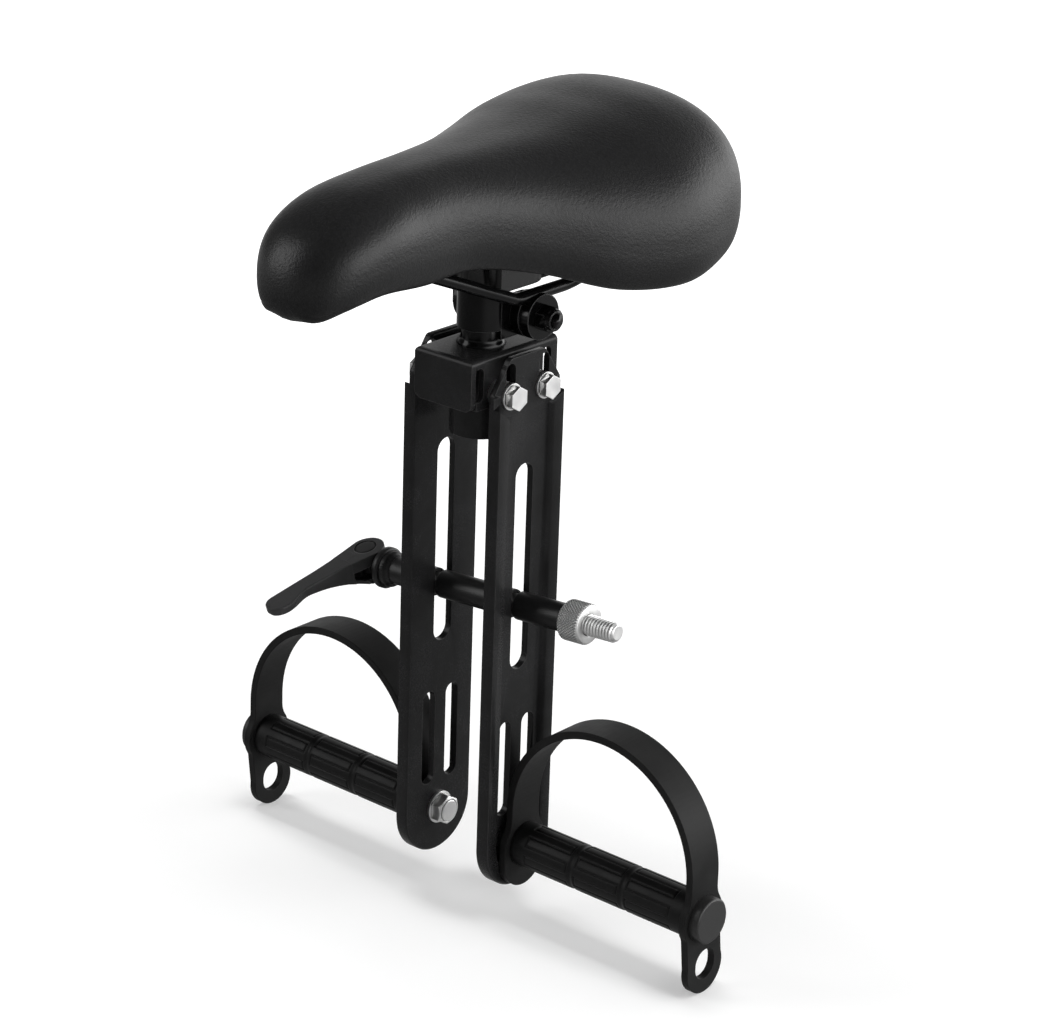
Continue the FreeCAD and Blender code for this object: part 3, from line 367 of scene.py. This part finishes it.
# Half width, rim and crown from the nose to the rear, as shares of the saddle's half width and height
STATIONS = [
    (0.020, 0.270, 0.290),
    (0.233, 0.140, 0.515),
    (0.364, 0.188, 0.668),
    (0.413, 0.236, 0.777),
    (0.413, 0.217, 0.831),
    (0.440, 0.232, 0.853),
    (0.587, 0.150, 0.867),
    (0.830, 0.018, 0.897),
    (0.989, 0.000, 0.952),
    (0.977, 0.060, 0.995),
    (0.880, 0.160, 0.973),
    (0.613, 0.273, 0.840),
    (0.030, 0.540, 0.560),
]
LAST_STATION = len(STATIONS) - 1
LEAST_HALF = 0.01
SECTIONS, TOP_STEPS, SIDE_STEPS = 120, 40, 16
CROWN_POWER = 2 / 2.4
BELLY, BELLY_SHARE = 16.0, 0.36
TUCK, TUCK_SHARE = 6.0, 0.55
RECESS, RECESS_INSET, RECESS_SLOPE = 12.0, 2.0, 4.0
LIP, LIP_SHARE, LIP_RISE, LIP_SAG, CLOSED_LIP = 11.0, 0.3, 0.4, 0.85, 0.4
NOSE_SAG, SAG_MIDDLE, SIDE_SAG = 2.3, 1.1, 0.4
SEAM_DEPTH, SEAM_END, SEAM_STEP = 1.1, 3.0, 7


def smooth_through(values, at):
    """Catmull-Rom curve through evenly spaced values."""
    last = len(values) - 1
    i = min(int(at), last - 1)
    t = at - i
    before = values[i - 1] if i > 0 else 2 * values[0] - values[1]
    a, b = values[i], values[i + 1]
    after = values[i + 2] if i + 2 <= last else 2 * values[last] - values[last - 1]
    square = 2 * before - 5 * a + 4 * b - after
    cube = 3 * (a - b) + after - before
    return a + 0.5 * t * (b - before + t * (square + t * cube))


def saddle_section(k):
    """Closed section at station k: one side, the crown, the other side and the hollow underside."""
    half, rim, crown = (smooth_through([s[i] for s in STATIONS], k) for i in range(3))
    y = SADDLE_NOSE + SADDLE_LENGTH * (1 - math.cos(math.pi * k / LAST_STATION)) / 2
    half = max(half, LEAST_HALF) * SADDLE_HALF
    rim = SADDLE_LOW + rim * SADDLE_HEIGHT
    crown = SADDLE_LOW + crown * SADDLE_HEIGHT
    belly = min(BELLY_SHARE * (crown - rim), BELLY)
    tuck = min(TUCK, TUCK_SHARE * half)
    recess = RECESS * unit(RECESS_SLOPE * min(k - RECESS_INSET, LAST_STATION - RECESS_INSET - k))
    groove = SEAM_DEPTH * unit(min(1 - k / SEAM_END, 2 * k - 1))
    sag = NOSE_SAG * max(0.0, 1 - ((k - SAG_MIDDLE) / SAG_MIDDLE) ** 2)
    points = []
    for i in range(SIDE_STEPS):
        angle = math.pi / 2 * (1 - i / SIDE_STEPS)
        x = half - tuck * (1 - math.cos(angle)) - (groove if i == SEAM_STEP else 0)
        z = rim - sag * math.sin(angle) ** 4 * SIDE_SAG + belly * (1 - math.sin(angle))
        points.append((x, z))
    for i in range(TOP_STEPS + 1):
        angle = math.pi * i / TOP_STEPS
        across = math.copysign(abs(math.cos(angle)) ** CROWN_POWER, math.cos(angle))
        up = math.sin(angle) ** CROWN_POWER if 0 < i < TOP_STEPS else 0
        points.append((half * across, rim + belly + (crown - rim - belly) * up))
    points += [(-x, z) for x, z in reversed(points[:SIDE_STEPS])]
    lip = max(half - LIP, LIP_SHARE * half)
    inner = lip if recess else CLOSED_LIP * lip
    lip_height = rim + LIP_RISE - LIP_SAG * sag
    ceiling = rim + recess - sag
    points += [(-lip, lip_height), (-inner, ceiling), (inner, ceiling), (lip, lip_height)]
    return [(x, y, z) for x, z in points]


def make_saddle():
    rows = [saddle_section(LAST_STATION * i / SECTIONS) for i in range(SECTIONS + 1)]
    columns = len(rows[0])
    points = [p for row in rows for p in row]
    faces = grid_faces(len(rows), columns)
    faces.append(tuple(range(columns)))
    faces.append(tuple(range(len(points) - columns, len(points))))
    piece = finish_mesh("saddle_skin", skin(points, faces), "saddle_cover", LEATHER, ROUND_CREASE)


BOSS_HALF, BOSS_FRONT, BOSS_REAR, BOSS_LOW, BOSS_TOP = 15.2, -8.0, 29.2, 121.6, 140.0
BOSS_STEPS = 24


def make_saddle_base():
    """Base in its own form, with its boss drawn out a little over the post's head."""
    bm = node_mesh("saddle_base")
    turns = [math.pi * i / BOSS_STEPS for i in range(BOSS_STEPS + 1)]
    rear = BOSS_REAR - BOSS_HALF
    outline = [(BOSS_HALF * math.cos(a), rear + BOSS_HALF * math.sin(a)) for a in turns]
    outline = [(BOSS_HALF, BOSS_FRONT), *outline, (-BOSS_HALF, BOSS_FRONT)]
    low, high = ([bm.verts.new(Vector((x, y, z)) * MM) for x, y in outline] for z in (BOSS_LOW, BOSS_TOP))
    for i in range(len(outline)):
        bm.faces.new((low[i - 1], low[i], high[i], high[i - 1]))
    bm.faces.new(low)
    bm.faces.new(high)
    finish_mesh("saddle_base_dressed", bm, "saddle_base", SHELL)


# Clamp rod and its nut

ROD_DROP, ROD_TILT, ROD_RADIUS = 29.5, 3.9, 5.0
ROD_FRAME = Matrix.Translation((0, 0, -ROD_DROP)) @ Matrix.Rotation(math.radians(-ROD_TILT), 4, "Y")


def make_rod():
    """Rod with a cut thread on its free end, bright from where the thread starts."""
    neck_end, neck_start, neck_radius = -73.4, -56.0, 3.5
    start, end, pitch, depth, run_in = 56.0, 84.0, 1.75, 0.95, 1.5
    crest_width, crest_slope = 1.25, 2.6
    end_radius, chamfer_radius, chamfer_slope = 3.2, 3.4, 1.1
    steps, columns = 260, 48
    profile = [(neck_end, 0.0), (neck_end, neck_radius), (neck_start, neck_radius)]
    profile += [(neck_start, ROD_RADIUS), (start, ROD_RADIUS)]
    profile += [(start + (end - start) * i / steps, None) for i in range(steps + 1)]
    profile += [(end, end_radius), (end, 0.0)]

    def at(row, turn):
        along, radius = profile[row]
        if radius is None:
            phase = (along / pitch + turn / (2 * math.pi)) % 1
            crest = unit(crest_width - crest_slope * abs(phase - 0.5))
            radius = ROD_RADIUS - depth * (1 - crest) * unit((along - start) / run_in)
            radius = min(radius, chamfer_radius + (end - along) * chamfer_slope)
        return along, radius

    bm = turned(len(profile), columns, at, ROD_FRAME)
    rod = finish_mesh("clamp_rod_threaded", bm, "clamp_rod", ZINC, ROUND_CREASE, even=False)
    rod.data.materials.append(SLEEVE)
    for face in rod.data.polygons:
        face.material_index = int(face.center.x < start * MM)


def make_knurled_nut():
    """Knurled thumb nut: diamond knurl up to a narrow chamfer round a flat end face."""
    start, end, radius, bore = 55.1, 67.2, 9.6, 5.2
    lines, slope, depth, steepness = 44, 0.56, 0.62, 1.9
    knurl_start, knurl_end = start + 0.6, end - 0.8
    steps, columns = 60, lines * 8
    profile = [(start, bore), (start, 8.3), (start + 0.45, 8.9)]
    profile += [(knurl_start + (knurl_end - knurl_start) * i / steps, None) for i in range(steps + 1)]
    profile += [(knurl_end + 0.1, 9.1), (end - 0.12, 8.75), (end, 8.5), (end, bore), (start, bore)]

    def at(row, turn):
        along, level = profile[row]
        if level is None:
            a = lines * turn / (2 * math.pi) + slope * along
            b = lines * turn / (2 * math.pi) - slope * along
            ridge = min(abs(a % 1 - 0.5), abs(b % 1 - 0.5)) * 2
            level = radius - depth * (1 - min(1.0, ridge * steepness))
        return along, level

    bm = turned(len(profile), columns, at, ROD_FRAME)
    finish_mesh("knurled_nut_cut", bm, "knurled_nut", KNURL, KNURL_CREASE, even=False)


# Cam lever, in its own frame: the pin stands along Z and the arm reaches towards minus Y

PIVOT, LEVER_TILT, LEVER_SWING = 69.9, 16.0, 10.0
LEVER_FRAME = (
    ROD_FRAME
    @ Matrix.Translation((-PIVOT, 0, 0))
    @ Matrix.Rotation(math.radians(LEVER_TILT), 4, "X")
    @ Matrix.Rotation(math.radians(-LEVER_SWING), 4, "Z")
)
LEVER_TOP, LEVER_LOW, LEVER_REACH, LEVER_CUT = 8.85, -6.1, 60.0, 13.6
ARM_START, ARM_HALF = 7.0, 5.5
POCKET_END, POCKET_WALL, POCKET_SEAM = 13.5, 1.5, 0.01
SUNK, RISE, RISE_START = -0.3, 0.35, 9.0
FLARE_END, LEFT_FLARE, RIGHT_FLARE = 17.2, 2.1, 4.1
WAIST, WAIST_RUN = 1.55, 20.0
SWELL, SWELL_START, SWELL_RUN = 4.0, 38.0, 15.0
TIP_START, TIP_RADIUS, TIP_LEFT, TIP_RIGHT = 53.6, 6.4, 0.9, 1.5
WEB_END, WEB_DEPTH, WEB_POWER = 4.85, 10.9, 2.8
EDGE, HUB_EDGE, EDGE_START, EDGE_RUN = 0.9, 0.1, 15.0, 12.0
RIB_START, RIB_LEFT, RIB_RIGHT, RIB_HEIGHT, RIB_EDGE, RIB_ROWS = 5.2, -5.0, 5.2, 2.3, 0.4, 10
HUB_ROWS = [ARM_START, RISE_START, 11.0, POCKET_END - POCKET_SEAM, POCKET_END + POCKET_SEAM, EDGE_START, 16.2]
ARM_ROWS, ARM_STEP, TIP_ROWS = 30, 1.2, 18
CORNER_STEPS, CORNER_SHARE = 4, 0.48


def arm_section(out):
    """Left, right, low, high and edge round of the lever's arm at a distance from its pin."""
    proud = SUNK + RISE * unit((out - RISE_START) / (POCKET_END - RISE_START))
    flare = max(0.0, FLARE_END - out) / FLARE_END
    left = -ARM_HALF - LEFT_FLARE * flare - proud
    right = ARM_HALF + RIGHT_FLARE * flare + proud
    if out > FLARE_END:
        swell = unit((out - SWELL_START) / SWELL_RUN)
        right -= WAIST * min(1.0, (out - FLARE_END) / WAIST_RUN) - SWELL * swell * swell * (3 - 2 * swell)
    if out > TIP_START:
        reach = math.sqrt(max(0.0, TIP_RADIUS ** 2 - (out - TIP_START) ** 2))
        left, right = TIP_LEFT - reach, TIP_RIGHT + reach
    if out < POCKET_END:
        right = POCKET_WALL
    share = (LEVER_REACH - out) / (LEVER_REACH - ARM_START)
    low = max(LEVER_LOW, WEB_END - WEB_DEPTH * share ** WEB_POWER)
    drop = EDGE - math.sqrt(EDGE ** 2 - max(0.0, EDGE - (LEVER_REACH - out)) ** 2)
    soft = HUB_EDGE + (EDGE - HUB_EDGE) * unit((out - EDGE_START) / EDGE_RUN)
    return left, right, low + drop, LEVER_TOP + proud - drop, soft


def rib_section(out):
    """The same for the rib that closes the arm's pocket underneath."""
    low = arm_section(out)[2]
    right = RIB_RIGHT + RIGHT_FLARE * (FLARE_END - out) / FLARE_END
    return RIB_LEFT, right, low, low + RIB_HEIGHT, RIB_EDGE


def add_loft(bm, section, outs):
    """A closed form through round-cornered sections along the arm."""
    rows = []
    for out in outs:
        left, right, low, high, soft = section(out)
        soft = min(soft, CORNER_SHARE * (right - left), CORNER_SHARE * (high - low))
        left, right, low, high = left + soft, right - soft, low + soft, high - soft
        row = []
        for corner, (x, z) in enumerate(((right, high), (left, high), (left, low), (right, low))):
            for i in range(CORNER_STEPS + 1):
                angle = math.pi / 2 * (corner + i / CORNER_STEPS)
                row.append(bm.verts.new((x + soft * math.cos(angle), -out, z + soft * math.sin(angle))))
        rows.append(row)
    for near, far in zip(rows, rows[1:]):
        for i in range(len(near)):
            bm.faces.new((near[i - 1], near[i], far[i], far[i - 1]))
    bm.faces.new(rows[0])
    bm.faces.new(rows[-1])


def lever_mesh(node):
    """The node's mesh in the lever's own frame, in millimetres."""
    bm = node_mesh(node)
    bm.transform(LEVER_FRAME.inverted() @ Matrix.Scale(1 / MM, 4))
    return bm


def make_lever():
    """Forked hub in its own form, with a smooth arm, web and rib drawn out of it."""
    bm = lever_mesh("cam_lever")
    whole = [*bm.verts, *bm.edges, *bm.faces]
    place, facing = (0, -LEVER_CUT, 0), (0, -1, 0)
    split = bmesh.ops.bisect_plane(bm, geom=whole, plane_co=place, plane_no=facing, clear_outer=True)
    rim = [e for e in split["geom_cut"] if isinstance(e, bmesh.types.BMEdge)]
    bmesh.ops.holes_fill(bm, edges=rim, sides=0)
    outs = HUB_ROWS + [FLARE_END + i * ARM_STEP for i in range(ARM_ROWS)]
    outs += [TIP_START + TIP_RADIUS * math.sin(math.pi / 2 * i / TIP_ROWS) for i in range(TIP_ROWS + 1)]
    add_loft(bm, arm_section, outs)
    add_loft(bm, rib_section, [RIB_START + i for i in range(RIB_ROWS)])
    bm.transform(Matrix.Scale(MM, 4) @ LEVER_FRAME)
    finish_mesh("cam_lever_dressed", bm, "cam_lever", CASTING)


def make_pin():
    """Pivot pin with a turned groove near the rim of each end."""
    end_slack, groove_depth, groove_wall, groove_width = 0.01, 0.55, 0.12, 0.6
    bm = lever_mesh("lever_pivot_pin")
    bm.normal_update()
    heights = [v.co.z for v in bm.verts]
    low, high = min(heights), max(heights)

    def from_end(face):
        height = face.calc_center_median().z
        return min(high - height, height - low)

    ends = [f for f in bm.faces if from_end(f) < end_slack]
    for width, depth in ((groove_wall, -groove_depth), (groove_width, 0.0), (groove_wall, groove_depth)):
        bmesh.ops.inset_region(
            bm, faces=ends, thickness=width, depth=depth, use_boundary=True, use_even_offset=True
        )
    bm.transform(Matrix.Scale(MM, 4) @ LEVER_FRAME)
    finish_mesh("lever_pivot_pin_dressed", bm, "lever_pivot_pin", PIN)


# Foot pegs

PEG_DROP = 147.0
NUT_FACE, NUT_FLAT, NUT_COLUMNS = 20.5, 6.5, 96
# Distance from the nut's seat and radius: chamfered seat, crown, ring groove and flat face
NUT_PROFILE = [
    (0.0, 0.0), (0.0, 7.1), (0.3, 9.0), (4.3, 9.0), (4.6, 7.45), (5.0, 7.0), (5.4, 6.5), (5.6, 6.2),
    (5.6, 5.75), (5.35, 5.6), (5.35, 5.35), (5.9, 5.2), (6.1, 4.9), (6.1, 0.0),
]
GRIP_START, GRIP_END, GRIP_RADIUS, GRIP_BORE = 33.2, 136.8, 10.9, 7.6
GRIP_PADS, GRIP_PARTS, GRIP_COLLAR, PAD_COLUMNS = 14, 3, 6.0, 18
PAD_MARGIN = 2.6
GROOVE_WIDTH, GROOVE_DEPTH, GROOVE_SPREAD, GROOVE_POWER = 0.42, 0.5, 1.5, 1.5
VALLEY_DEPTH, VALLEY_REACH, MIDDLE_ROWS = 0.38, 2.0, 7
# Rows of a collar, as distance from the grip's end and drop below its radius
COLLAR_ROWS = [(0.0, 0.7), (0.25, 0.28), (0.6, 0.08), (1.6, 0.0), (3.0, 0.0), (4.2, 0.0)]
# Rows at each end of a section, close together where the grooves turn
TURN_ROWS = [0.0, 0.45, 0.9, 1.3, 1.7, 2.0, 2.2, 2.4, 2.6, 2.8, 3.0, 3.2, 3.5, 4.0, 5.0]


def make_peg_nut(side, sign):
    """Hex nut with a chamfered crown and a flat face over the bolt's end."""
    sixth = math.pi / 3

    def at(row, turn):
        along, radius = NUT_PROFILE[row]
        return along, min(radius, NUT_FLAT / math.cos((turn + sixth / 2) % sixth - sixth / 2))

    facing = Matrix.Rotation(math.pi if sign > 0 else 0, 4, "Z")
    place = Matrix.Translation((sign * NUT_FACE, 0, -PEG_DROP)) @ facing
    node = f"{side}_peg_nut"
    finish_mesh(f"{node}_faced", turned(len(NUT_PROFILE), NUT_COLUMNS, at, place), node, PITTED)


def groove_at(distance):
    """Share of the groove's depth at a distance from its middle."""
    return max(0.0, 1 - (distance / (GROOVE_WIDTH * GROOVE_SPREAD)) ** 2) ** GROOVE_POWER


def make_grip(side, sign):
    """Rubber grip: three sections of long pads, outlined by one winding groove each."""
    first = GRIP_START + GRIP_COLLAR
    length = (GRIP_END - GRIP_START - 2 * GRIP_COLLAR) / GRIP_PARTS
    arc = 2 * math.pi * GRIP_RADIUS / GRIP_PADS
    gap = (length - 2 * TURN_ROWS[-1]) / (MIDDLE_ROWS + 1)
    middle = [length / 2 + (i - MIDDLE_ROWS // 2) * gap for i in range(MIDDLE_ROWS)]
    steps = TURN_ROWS + middle + [length - v for v in reversed(TURN_ROWS)]
    profile = [(GRIP_START + v, GRIP_RADIUS - drop) for v, drop in COLLAR_ROWS]
    for part in range(GRIP_PARTS):
        profile += [(first + part * length + v, GRIP_RADIUS) for v in (steps if part == 0 else steps[1:])]
    profile += [(GRIP_END - v, GRIP_RADIUS - drop) for v, drop in reversed(COLLAR_ROWS)]
    profile += [(GRIP_END, GRIP_BORE), (GRIP_START, GRIP_BORE), profile[0]]

    def at(row, turn):
        along, radius = profile[row]
        place = along - GRIP_START - GRIP_COLLAR
        if 0 <= place <= GRIP_PARTS * length:
            within = place % length
            end = min(within, length - within)
            if end < VALLEY_REACH and 0 < round(place / length) < GRIP_PARTS:
                radius -= VALLEY_DEPTH * (0.5 + 0.5 * math.cos(math.pi * end / VALLEY_REACH))
            pad = turn / (2 * math.pi) * GRIP_PADS
            cut = 0.0
            if PAD_MARGIN - GROOVE_WIDTH < within < length - PAD_MARGIN + GROOVE_WIDTH:
                cut = groove_at(min(pad % 1, 1 - pad % 1) * arc)
            closed = PAD_MARGIN if int(pad) % 2 else length - PAD_MARGIN
            radius -= GROOVE_DEPTH * max(cut, groove_at(within - closed))
        return along, radius

    turn_over = Matrix.Rotation(0 if sign > 0 else math.pi, 4, "Z")
    place = turn_over @ Matrix.Translation((0, 0, -PEG_DROP))
    bm = turned(len(profile), GRIP_PADS * PAD_COLUMNS, at, place)
    node = f"{side}_peg_grip"
    finish_mesh(f"{node}_moulded", bm, node, GRIP, ROUND_CREASE, even=False)


# Pieces that keep their own form

FACE_GAP, BOLT_TIP = 0.06, 14.6
FINISHES = {
    COAT: ("left_leg", "right_leg", "top_bracket", "receiver_tube"),
    SLEEVE: ("left_sleeve", "middle_sleeve", "right_sleeve", "stepped_collar", "thrust_washer"),
    GLOSS: ("rail_clamp_band", "inner_rail_cheeks", "outer_rail_cheeks", "saddle_rails",
            "cross_bolt", "cross_nut", "seat_post"),
    ZINC: ("leg_bolts", "leg_washers", "leg_spacers"),
}
SIDE_FINISHES = {
    STRAP: ("foot_strap",),
    COAT: ("peg_spacer",),
    CAP: ("peg_cap",),
    ZINC: ("peg_core", "peg_bolt", "peg_washer"),
}


def make_collar_gap():
    """Draw the stepped collar a hair back, so that its face and the sleeve's don't share a plane."""
    bpy.data.meshes["stepped_collar_dressed"].transform(Matrix.Translation((-FACE_GAP * MM, 0, 0)))


def shorten_bolt(side):
    """Draw the peg bolt's tip back into its nut."""
    for point in bpy.data.meshes[f"{side}_peg_bolt_dressed"].vertices:
        if abs(point.co.x) < BOLT_TIP * MM:
            point.co.x = math.copysign(BOLT_TIP * MM, point.co.x)


make_saddle()
make_saddle_base()
make_rod()
make_knurled_nut()
make_lever()
make_pin()
for side, sign in SIDES.items():
    make_grip(side, sign)
    make_peg_nut(side, sign)
for material, nodes in FINISHES.items():
    for node in nodes:
        dressed(node, material)
make_collar_gap()
for side in SIDES:
    for material, nodes in SIDE_FINISHES.items():
        for node in nodes:
            dressed(f"{side}_{node}", material)
    shorten_bolt(side)


# Floor, backdrop and light, in metres but for the floor's height

FLOOR = -186.0
FLOOR_REACH = 14.0
FLOOR_SHADE = 0.92
FLOOR_GLOW = 0.19
FLOOR_WHITE = 1.5
ROOM_SIDE = (-0.45, -0.89, 0.0)
CARD_SIDE = (1.0, 0.0, 0.0)
UPWARD = (0.0, 0.0, 1.0)
WHITE = grey(1)
ROOM_LIGHT = 0.1
BACKDROP_LIGHT = 1.3
LIGHT_TARGET = (0, 0, 0.05)


def pale_surface():
    """Pale floor: white to the camera but for the soft shadow, and darker towards the room in reflections."""
    material = bpy.data.materials.new("pale_floor")
    material.use_nodes = True
    material.node_tree.nodes.clear()
    wires = Wires(material.node_tree)
    rays = wires.node("ShaderNodeLightPath").outputs
    place = wires.node("ShaderNodeNewGeometry").outputs["Position"]
    far = wires.node("ShaderNodeVectorMath", place, operation="LENGTH").outputs["Value"]
    white = wires.ramp(far, start=0.3, end=0.9, low=FLOOR_GLOW, high=1.0)
    room = wires.ramp(wires.along(place, ROOM_SIDE), start=-0.05, end=0.55, low=1.0, high=0.42)
    card = wires.ramp(wires.along(place, CARD_SIDE), start=-0.5, end=0.9, low=0.85, high=1.1)
    away = wires.ramp(far, start=0.5, end=2.6, low=0.4, high=1.4)
    mirrored = wires.maths("MULTIPLY", room, wires.maths("MULTIPLY", card, away))
    seen = wires.maths("MULTIPLY", rays["Is Camera Ray"], white)
    share = wires.maths("MAXIMUM", seen, rays["Is Glossy Ray"])
    change = wires.maths("SUBTRACT", mirrored, FLOOR_WHITE)
    level = wires.maths("MULTIPLY_ADD", rays["Is Glossy Ray"], change, FLOOR_WHITE)
    matt = wires.node("ShaderNodeBsdfDiffuse", grey(FLOOR_SHADE)).outputs[0]
    glow = wires.node("ShaderNodeEmission", WHITE, level).outputs[0]
    mixed = wires.node("ShaderNodeMixShader", share, matt, glow).outputs[0]
    wires.node("ShaderNodeOutputMaterial", mixed)
    return material


def make_floor():
    mesh = bpy.data.meshes.new("floor")
    around = ((-1, -1), (1, -1), (1, 1), (-1, 1))
    mesh.from_pydata([(x * FLOOR_REACH, y * FLOOR_REACH, FLOOR * MM) for x, y in around], [], [(0, 1, 2, 3)])
    mesh.materials.append(pale_surface())
    floor = bpy.data.objects.new("floor", mesh)
    scene.collection.objects.link(floor)


def make_world():
    """White backdrop behind the part, a bright card at one side, and the room darker above and in front."""
    world = bpy.data.worlds.new("studio")
    scene.world = world
    world.use_nodes = True
    wires = Wires(world.node_tree)
    rays = wires.node("ShaderNodeLightPath").outputs
    looking = wires.node("ShaderNodeTexCoord").outputs["Generated"]
    backdrop = wires.ramp(wires.along(looking, ROOM_SIDE), start=-0.55, end=0.35, low=1.0, high=0.0)
    height = wires.ramp(wires.along(looking, UPWARD), start=0.38, end=0.58, low=1.0, high=0.03)
    card = wires.ramp(wires.along(looking, CARD_SIDE), start=-0.4, end=0.5, low=0.75, high=3.0)
    white = wires.maths("MULTIPLY", wires.maths("MULTIPLY", backdrop, height), card)
    room = wires.maths("MULTIPLY_ADD", white, BACKDROP_LIGHT, ROOM_LIGHT)
    seen = wires.maths("MAXIMUM", rays["Is Camera Ray"], rays["Is Transmission Ray"])
    background = world.node_tree.nodes["Background"]
    wires.feed(background.inputs["Color"], WHITE)
    wires.feed(background.inputs["Strength"], wires.maths("MAXIMUM", seen, room))


def soft_light(name, place, size, power, mirrored=True):
    lamp = bpy.data.lights.new(name, "AREA")
    lamp.shape = "RECTANGLE"
    lamp.size, lamp.size_y = size
    lamp.energy = power
    item = bpy.data.objects.new(name, lamp)
    item.location = place
    item.rotation_mode = "QUATERNION"
    item.rotation_quaternion = (Vector(LIGHT_TARGET) - Vector(place)).to_track_quat("-Z", "Y")
    item.visible_glossy = mirrored
    scene.collection.objects.link(item)


# Camera, fitted to the photograph's view

AZIMUTH, ELEVATION, ROLL = (math.radians(a) for a in (40.318, 21.460, 1.905))
DISTANCE = 1556.2 * MM
AIM_ACROSS, AIM_HEIGHT = 18.985, 9.845
FOCAL_PIXELS, PHOTO_WIDTH, SENSOR = 3378.8, 1044, 36
LEVEL = math.cos(ELEVATION)
BACK = Vector((math.sin(AZIMUTH) * LEVEL, -math.cos(AZIMUTH) * LEVEL, math.sin(ELEVATION)))
RIGHT = Vector((math.cos(AZIMUTH), math.sin(AZIMUTH), 0))
UP = BACK.cross(RIGHT)
AIM = Vector((AIM_ACROSS * math.cos(AZIMUTH), AIM_ACROSS * math.sin(AZIMUTH), AIM_HEIGHT)) * MM


def make_camera():
    across = RIGHT * math.cos(ROLL) + UP * math.sin(ROLL)
    above = -RIGHT * math.sin(ROLL) + UP * math.cos(ROLL)
    lens = bpy.data.cameras.new("camera")
    lens.sensor_width = SENSOR
    lens.lens = FOCAL_PIXELS / PHOTO_WIDTH * SENSOR
    lens.clip_start, lens.clip_end = 0.01, 100
    camera = bpy.data.objects.new("camera", lens)
    turn = Matrix((across, above, BACK)).transposed().to_4x4()
    camera.matrix_world = Matrix.Translation(AIM + BACK * DISTANCE) @ turn
    scene.collection.objects.link(camera)
    scene.camera = camera


make_floor()
make_world()
soft_light("top_softbox", place=(0, 0.05, 1.35), size=(2.2, 0.35), power=20, mirrored=False)
LEFT_PLACE = AIM - RIGHT * 1.2 + BACK * 0.1 + Vector((0, 0, 0.5))
soft_light("left_softbox", place=LEFT_PLACE, size=(0.5, 0.8), power=4.0)
make_camera()
scene.view_settings.view_transform = "Standard"
